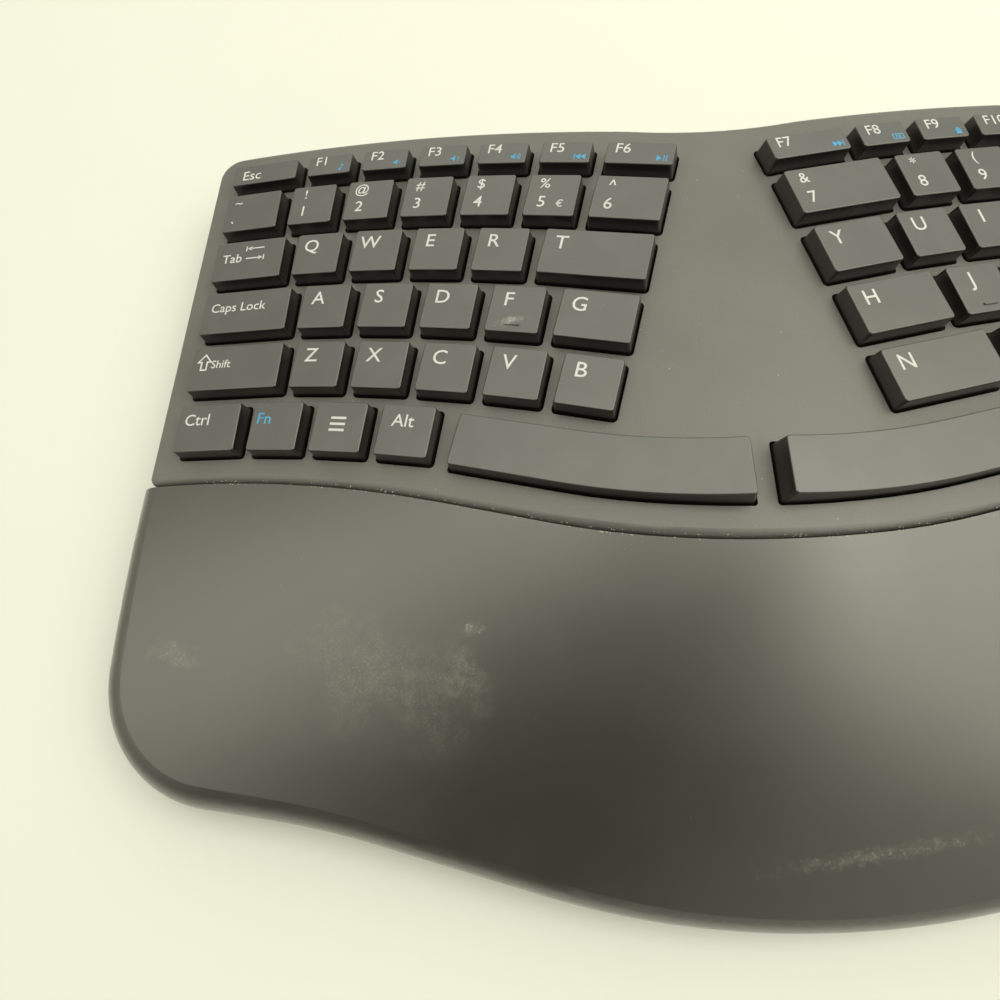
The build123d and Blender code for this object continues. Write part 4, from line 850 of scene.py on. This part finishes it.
@dataclass
class Keys:
    """All key caps with their printed legends."""

    form: DeckForm
    cap: KeyPlastic = KeyPlastic(
        "key_plastic_dark",
        tone(74, 75, 77),
        # the skirts' darker tone: painted shade
        tone(25, 24, 22),
        Wear((-138.5, 31.2), (5.0, 1.8), 4.0, 0.8, 0.35),
        ((-137.9, 30.4), (-16.9, 31.3)),
    )
    white: PlainMatter = PlainMatter("legend_white", tone(214, 214, 216), tone(224, 224, 226), 0.55)
    blue: PlainMatter = PlainMatter("legend_blue", tone(70, 160, 215), tone(88, 175, 226), 0.55)
    tops: list[KeyTop] = field(default_factory=list)
    lettering: Lettering = field(default_factory=Lettering)
    drawings: dict[Symbol, Shape] = field(default_factory=drawings)

    def build(self) -> None:
        """Finds every key's top and prints its legend on it."""
        inks = [self.white.make(), self.blue.make()]
        left, right, level = self.form.half(-1), self.form.half(1), self.form.level()
        for node in KEY_NODES:
            self.print_node(node, left, (LEFT_LEGENDS[node.removeprefix("key_")],), inks)
        for node, legends in GROUP_LEGENDS.items():
            self.print_node(node, level if node in LEVEL_GROUPS else right, legends, inks)

    def print_node(
        self, node: str, deck: Deck, legends: tuple[Legend, ...], inks: list[bpy.types.Material]
    ) -> None:
        """Prints the legends of one node's keys as one piece on the node's body.

        Args:
            node: the CAD node.
            deck: the plane of its key tops.
            legends: one legend for each key, in reading order.
            inks: the white and the blue material.
        """
        tops = find_tops(node, deck, self.form.cap_edge)
        self.tops += tops
        if len(tops) != len(legends):
            log.warning("%s has %d tops for %d legends", node, len(tops), len(legends))
        shapes, numbers = [], []
        for top, legend in zip(tops, legends):
            for mark in legend:
                shape = self.print_mark(mark, top)
                shapes.append(shape)
                numbers.append(np.full(len(shape[1]), mark.ink.value))
        body = frame["nodes"][node]["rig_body"]
        add_piece(f"legend_{node}", join(shapes), body, inks, np.concatenate(numbers))

    def print_mark(self, mark: Mark, top: KeyTop) -> Shape:
        """One mark on one key, from just under the top's surface to just over it."""
        drawn = isinstance(mark.content, Symbol)
        corners, faces = self.drawings[mark.content] if drawn else self.lettering.word(mark.content)
        left = mark.left * MM if mark.left >= 0 else top.width + mark.left * MM
        if mark.middle:
            left -= np.ptp(corners[:, 0]) * mark.height * MM / 2
        local = np.empty_like(corners)
        local[:, 0] = corners[:, 0] * mark.height * MM + left
        local[:, 1] = corners[:, 1] * mark.height * MM - (mark.top + mark.height) * MM
        local[:, 2] = np.where(corners[:, 2] > 0, RAISED * MM, -SUNK * MM)
        return top.place(local), faces

    def dress(self) -> None:
        """Gives the key caps their coat, with painted shade on their skirts."""
        finish = self.cap.make()
        for node in (*KEY_NODES, *SPACE_BARS, *GROUP_LEGENDS):
            paint(node, finish)


def paint(node: str, finish: bpy.types.Material) -> None:
    """Puts a material into every slot of a CAD node."""
    for slot in frame["nodes"][node].material_slots:
        slot.material = finish


@dataclass
class Case:
    """The top case, and the dust that has settled in its openings and along the seam."""

    form: DeckForm
    tops: list[KeyTop]
    plastic: MouldedPlastic = MouldedPlastic(
        "case_plastic_grained", tone(98, 97, 96), tone(106, 105, 103), roughness=0.46, specular=1.0
    )
    lint: PlainMatter = PlainMatter("settled_dust", tone(176, 172, 158), tone(206, 203, 190), 0.9)
    seam_grains: int = 420
    seam_reach: float = 150.0   # the seam carries dust this far to each side of the split line, millimetres
    seam_shift: Pair = (0.25, 0.7)      # how far its grains lie from the line
    opening_grains: int = 5     # for each key
    opening_gap: Pair = (1.45, 1.95)    # how far they lie from the top's edge
    grain: Pair = (0.05, 0.16)  # radius of a grain
    lowest: float = 8.0         # a place lower than this isn't on the deck
    ray_height: float = 0.2     # metres
    seed: int = 7

    def surface_height(self, places: np.ndarray) -> np.ndarray:
        """Height of the case or the palm rest under each point of the plan, in metres, or nan."""
        corners, triangles, start = [], [], 0
        for node in ("top_case", "palm_rest"):
            points, faces = mesh_arrays(frame["nodes"][node].data)
            corners.append(points)
            triangles.append(faces + start)
            start += len(points)
        tree = BVHTree.FromPolygons(np.concatenate(corners).tolist(), np.concatenate(triangles).tolist())
        heights = []
        for x, y in places.tolist():
            hit = tree.ray_cast(Vector((x, y, self.ray_height)), Vector((0, 0, -1)))[0]
            heights.append(hit.z if hit else math.nan)
        return np.array(heights)

    def scatter(self) -> tuple[np.ndarray, np.ndarray]:
        """Places of the dust grains and their sizes, in metres."""
        chance = np.random.default_rng(self.seed)
        line = self.form.seam(chance.uniform(-self.seam_reach, self.seam_reach, self.seam_grains)) * MM
        side = chance.choice((-1.0, 1.0), self.seam_grains)
        line[:, 1] += side * chance.uniform(*self.seam_shift, self.seam_grains) * MM
        beside = []
        for top in self.tops:
            along = chance.uniform(-0.5, 0.5, (self.opening_grains, 2))
            edge = chance.integers(0, 2, self.opening_grains)
            sign = chance.choice((-1.0, 1.0), self.opening_grains)
            gap = chance.uniform(*self.opening_gap, self.opening_grains) * MM
            x = np.where(edge == 0, sign * (top.width / 2 + gap), along[:, 0] * top.width)
            y = np.where(edge == 0, along[:, 1] * top.depth, sign * (top.depth / 2 + gap))
            beside.append((top.centre + x[:, None] * top.right + y[:, None] * top.up)[:, :2])
        plan = np.concatenate((line, *beside))
        height = self.surface_height(plan)
        size = chance.uniform(*self.grain, len(plan)) * MM
        good = np.isfinite(height) & (height > self.lowest * MM)
        return np.column_stack((plan, height))[good], size[good]

    def build(self) -> None:
        """Lays the dust grains: one squashed, turned twelve-cornered grain at each place."""
        places, sizes = self.scatter()
        chance = np.random.default_rng(self.seed + 1)
        golden = (1 + math.sqrt(5)) / 2
        base = np.array([(0, a, b * golden) for a in (-1, 1) for b in (-1, 1)], dtype=float)
        base = np.concatenate((base, base[:, (1, 2, 0)], base[:, (2, 0, 1)])) / math.hypot(1, golden)
        near = np.linalg.norm(base[:, None] - base[None], axis=2) < 1.2     # a side is 1.05, a diagonal 1.70
        trios = combinations(range(len(base)), 3)
        faces = np.array([trio for trio in trios if near[np.ix_(trio, trio)].all()])
        stretch = chance.uniform((0.7, 0.7, 0.5), (1.6, 1.6, 0.9), (len(places), 3))
        turn = chance.uniform(0.0, 2 * math.pi, len(places))
        grains = base[None] * stretch[:, None] * sizes[:, None, None]
        grains *= chance.uniform(0.8, 1.2, (len(places), len(base), 1))
        x = grains[..., 0] * np.cos(turn)[:, None] - grains[..., 1] * np.sin(turn)[:, None]
        y = grains[..., 0] * np.sin(turn)[:, None] + grains[..., 1] * np.cos(turn)[:, None]
        corners = np.stack((x, y, grains[..., 2]), axis=2) + places[:, None]
        indices = faces[None] + len(base) * np.arange(len(places))[:, None, None]
        shape = (corners.reshape(-1, 3), [tuple(face) for face in indices.reshape(-1, 3).tolist()])
        add_piece("settled_dust", shape, "keyboard", [self.lint.make()])
        log.info("dust grains: %d", len(places))

    def dress(self) -> None:
        """Gives the case its grained plastic."""
        paint("top_case", self.plastic.make())


@dataclass
class PalmRest:
    """The domed palm rest with its worn places."""

    skin: SoftSkin = SoftSkin(
        "palm_skin_worn",
        tone(41, 38, 34),
        tone(47, 44, 40),
        tone(150, 147, 137),
        (
            Wear((-171.0, -58.5), (30.0, 17.0), -12.0, 0.28, 0.5),
            Wear((-151.0, -60.0), (8.5, 11.5), 0.0, 0.42, 0.4),
            Wear((-149.3, -48.6), (3.8, 2.4), 0.0, 0.85, 0.4),
            Wear((-227.8, -52.8), (10.0, 4.5), -12.0, 0.32, 0.5),
            Wear((-61.0, -96.6), (29.0, 2.2), 10.0, 0.5, 0.6),
        ),
    )

    def dress(self) -> None:
        """Gives the palm rest its skin."""
        paint("palm_rest", self.skin.make())


@dataclass
class Underside:
    """Bottom case, feet, screws, tilt legs, battery door and power switch, with their small moulded marks."""

    form: DeckForm
    base: MouldedPlastic = MouldedPlastic(
        "base_plastic_grained", tone(58, 57, 52), tone(64, 63, 58), roughness=0.58, grain=0.7, dust=0.04
    )
    switch: MouldedPlastic = MouldedPlastic(
        "switch_plastic_smooth", tone(38, 38, 36), tone(44, 44, 42), roughness=0.4, grain=0.2, dust=0.02
    )
    rubber: PlainMatter = PlainMatter("foot_rubber_matt", tone(40, 40, 38), tone(50, 50, 47), 0.85, grain=0.3)
    screw: BrushedSteel = BrushedSteel("screw_steel_bright", tone(150, 150, 148), tone(178, 178, 175))
    floor: float = 1.5          # underside of the bottom case, millimetres
    mark_rise: Pair = (-0.12, 0.1)      # the marks' outer and inner faces, from the underside up
    leg_middles: Pair = (-199.4, 199.4)
    hinge: Pair = (90.61, 3.4)  # the legs' hinge line, back and up
    pad_shift: Pair = (-18.5, -1.6)     # a leg pad's place, from the hinge
    pad_half: Pair = (13.0, 2.0)        # its half length and half width
    pad_rings: tuple[Pair, ...] = ((0.0, 0.25), (0.0, -0.1), (0.15, -0.2))      # inset and height of each
    switch_place: Pair = (8.4, 26.4)
    switch_words: tuple[tuple[str, float], ...] = (("OFF", -2.4), ("ON", 2.6))      # and their shift sideways
    word_shift: float = 5.6
    word_height: float = 2.0
    door_place: Pair = (-79.6, 35.4)
    arrow_length: float = 9.0

    def mark(self, shape: Shape, middle: Pair, height: float) -> Shape:
        """A raised mark read from below.

        Args:
            shape: a drawn mark or a word, one unit high.
            middle: where its middle comes, millimetres.
            height: its height, millimetres.

        Returns:
            The mark in metres, from inside the plastic to a little under it.
        """
        corners, faces = shape
        flat = corners[:, :2] * height
        flat -= (flat.min(axis=0) + flat.max(axis=0)) / 2
        rise = np.where(corners[:, 2] > 0, *self.mark_rise)
        places = (middle[0] - flat[:, 0], middle[1] + flat[:, 1], self.floor + rise)
        return np.column_stack(places) * MM, faces

    def leg_pad(self, middle: float) -> Shape:
        """Rubber strip on a folded leg's free end.

        Its outline is a superellipse, |x / a| and |y / b| to the power 5 adding to 1, carried down in three
        rings that draw in towards the bottom.
        """
        turn = np.linspace(0, 2 * math.pi, 40, endpoint=False)
        power = 2 / 5
        x = np.sign(np.cos(turn)) * np.abs(np.cos(turn)) ** power
        y = np.sign(np.sin(turn)) * np.abs(np.sin(turn)) ** power
        back, up = self.hinge[0] + self.pad_shift[0], self.hinge[1] + self.pad_shift[1]
        length, width = self.pad_half
        rings = []
        for inset, height in self.pad_rings:
            ring = (middle + x * (length - inset), back + y * (width - inset), np.full_like(x, up + height))
            rings.append(np.column_stack(ring))
        return skin(np.stack(rings) * MM)

    def build(self) -> None:
        """Adds the leg pads, the switch's words and the door's arrow, in the finishes of feet and switch."""
        rubber = self.rubber.make()
        paint("rubber_feet", rubber)
        for side, middle in zip(("left", "right"), self.leg_middles):
            body = frame["nodes"][f"tilt_leg_{side}"]["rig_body"]
            add_piece(f"leg_pad_{side}", self.leg_pad(middle), body, [rubber])
        lettering = Lettering()
        x, y = self.switch_place
        words = [
            self.mark(lettering.word(text), (x + shift, y + self.word_shift), self.word_height)
            for text, shift in self.switch_words
        ]
        finish = self.switch.make()
        paint("power_switch", finish)
        add_piece("switch_words", join(words), "keyboard", [finish])
        body = frame["nodes"]["battery_door"]["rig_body"]
        pointer = self.mark(arrow(270), self.door_place, self.arrow_length)
        add_piece("door_arrow", pointer, body, [finish])

    def dress(self) -> None:
        """Gives the underside's other pieces their materials."""
        plastic = self.base.make()
        for node in ("bottom_case", "battery_door", "tilt_leg_left", "tilt_leg_right"):
            paint(node, plastic)
        paint("case_screws", self.screw.make())


@dataclass
class Inside:
    """What the case hides: guide frame, domes, circuit, backing plate, board and cells."""

    finishes: tuple[tuple[str, PlainMatter | BrushedSteel], ...] = (
        ("key_guide_frame", PlainMatter("guide_plastic_black", tone(30, 30, 29), tone(36, 36, 34), 0.5)),
        ("dome_sheet", PlainMatter("dome_rubber_milky", tone(168, 172, 170), tone(186, 190, 187), 0.6)),
        ("membrane_circuit", PlainMatter("film_clear_grey", tone(150, 156, 150), tone(170, 176, 170), 0.3)),
        ("backing_plate", BrushedSteel("plate_steel_drawn", tone(160, 160, 158), tone(184, 184, 182))),
        ("controller_board", PlainMatter("board_green", tone(24, 74, 44), tone(34, 92, 54), 0.4)),
        ("battery_cells", PlainMatter("cell_jacket_grey", tone(88, 92, 96), tone(104, 108, 112), 0.35)),
    )

    def dress(self) -> None:
        """Gives each hidden piece its material."""
        for node, finish in self.finishes:
            paint(node, finish.make())


@dataclass(frozen=True)
class Softbox:
    """A soft lamp: its place and aim in metres, its size and its power."""

    name: str
    place: tuple[float, float, float]
    aim: tuple[float, float, float]
    size: Pair
    power: float
    colour: tuple[float, float, float] = (1.0, 0.985, 0.81)

    def build(self) -> None:
        """Hangs the lamp and turns it to its aim."""
        lamp = bpy.data.lights.new(self.name, "AREA")
        lamp.shape = "RECTANGLE"
        lamp.size, lamp.size_y = self.size
        lamp.energy = self.power
        lamp.color = self.colour
        carrier = put(self.name, lamp)
        carrier.location = self.place
        carrier.rotation_euler = (Vector(self.aim) - Vector(self.place)).to_track_quat("-Z", "Y").to_euler()


@dataclass(frozen=True)
class Viewpoint:
    """The camera: its place in metres, where it looks, and its lens on a 36 mm sensor."""

    place: tuple[float, float, float] = (-0.13343, -0.06531, 0.17513)
    forward: tuple[float, float, float] = (-0.0585, 0.3213, -0.9452)
    right: tuple[float, float, float] = (0.998, -0.0031, -0.0628)
    lens: float = 21.6

    def build(self) -> None:
        """Sets the camera: its axes are right, up and back, made square to each other."""
        data = bpy.data.cameras.new("photo_camera")
        data.lens = self.lens
        data.sensor_width = 36.0
        data.sensor_fit = "HORIZONTAL"
        data.clip_start = 0.01
        data.clip_end = 50.0
        camera = put("photo_camera", data)
        back = -Vector(self.forward).normalized()
        side = Vector(self.right)
        side = (side - back * side.dot(back)).normalized()
        turn = Matrix((side, back.cross(side), back)).transposed().to_4x4()
        camera.matrix_world = Matrix.Translation(Vector(self.place)) @ turn
        bpy.context.scene.camera = camera


@dataclass
class Studio:
    """The pale table, the lamps, the surround and the camera."""

    table: Colour = tone(246, 246, 243)
    surround: Colour = tone(250, 249, 226)
    fill: float = 0.525
    fade: Pair = (0.55, 1.5)            # distances over which the table turns into the surround, metres
    user: tuple[float, float, float] = (-0.22, -0.66, 0.74)     # direction of the dim patch before the table
    dim_edge: Pair = (0.72, 0.97)       # cosines of the patch's rim and of its full depth
    dim: float = 0.06                   # share of the fill light left in it
    reach: float = 4.0                  # half the table's side, metres
    drop: float = 0.05                  # how far the table lies under the feet, millimetres
    lamps: tuple[Softbox, ...] = (
        Softbox("overhead_softbox", (0.22, 0.32, 1.15), (0.22, 0.32, 0.0), (1.7, 0.55), 6.1),
        Softbox("right_softbox", (0.85, -0.05, 1.05), (-0.05, 0.0, 0.0), (1.3, 0.9), 7.0),
        Softbox("left_softbox", (-0.95, -0.10, 1.05), (-0.20, -0.05, 0.0), (0.8, 0.5), 2.3),
        Softbox("back_softbox", (0.00, 1.10, 0.80), (-0.05, 0.05, 0.0), (1.8, 0.8), 3.1),
    )
    view: Viewpoint = Viewpoint()

    def build(self) -> None:
        """Lays the table, hangs the lamps and sets the camera."""
        square = ((-1, -1), (1, -1), (1, 1), (-1, 1))
        corners = [(x * self.reach, y * self.reach, -self.drop * MM) for x, y in square]
        mesh = bpy.data.meshes.new("table")
        mesh.from_pydata(corners, [], [(0, 1, 2, 3)])
        table = put("table", mesh)
        surface = Surface("table_pale")
        colour = surface.mix(surface.noise(60.0, 3.0), scaled(self.table, 0.97), self.table)
        seen = surface.add("ShaderNodeLightPath").outputs["Is Camera Ray"]
        far = surface.calc("MULTIPLY", surface.ramp(surface.length(surface.place), *self.fade), seen)
        mesh.materials.append(surface.finish(
            Base_Color=surface.mix(far, colour, tone(0, 0, 0)), Roughness=0.6, Specular_IOR_Level=0.2,
            Emission_Color=self.surround, Emission_Strength=far,
        ))
        for lamp in self.lamps:
            lamp.build()
        self.view.build()

    def dress(self) -> None:
        """Sets the surround: fill light that dims towards the user, and a pale background for the camera."""
        world = bpy.data.worlds.new("surround")
        world.use_nodes = True
        sky = Nodes(world.node_tree)
        place = sky.add("ShaderNodeTexCoord").outputs["Generated"]
        values = {0: place, 1: Vector(self.user).normalized()}
        toward = sky.add("ShaderNodeVectorMath", values, operation="DOT_PRODUCT").outputs["Value"]
        level = sky.ramp(toward, *self.dim_edge, self.fill, self.fill * self.dim)
        seen = sky.add("ShaderNodeLightPath").outputs["Is Camera Ray"]
        strength = sky.add("ShaderNodeMix", {0: seen, 2: level, 3: 1.0}).outputs[0]
        background = sky.add("ShaderNodeBackground", {"Color": self.surround, "Strength": strength})
        sky.add("ShaderNodeOutputWorld", {"Surface": background.outputs[0]})
        bpy.context.scene.world = world
        bpy.context.scene.view_settings.view_transform = "Standard"


def main() -> None:
    """Builds and dresses the keyboard in order."""
    logging.basicConfig(level=logging.INFO)
    for name in ("Cube", "Light", "Camera"):
        if name in bpy.data.objects:
            bpy.data.objects.remove(bpy.data.objects[name])
    bpy.context.view_layer.update()
    form = DeckForm()
    keys = Keys(form)
    keys.build()
    keys.dress()
    log.info("keys done: %d tops", len(keys.tops))
    for part in (Case(form, keys.tops), Underside(form)):
        part.build()
        part.dress()
        log.info("%s done", type(part).__name__)
    for part in (PalmRest(), Inside()):
        part.dress()
        log.info("%s dressed", type(part).__name__)
    studio = Studio()
    studio.build()
    studio.dress()
    bpy.context.view_layer.update()


if __name__ == "__main__":
    main()
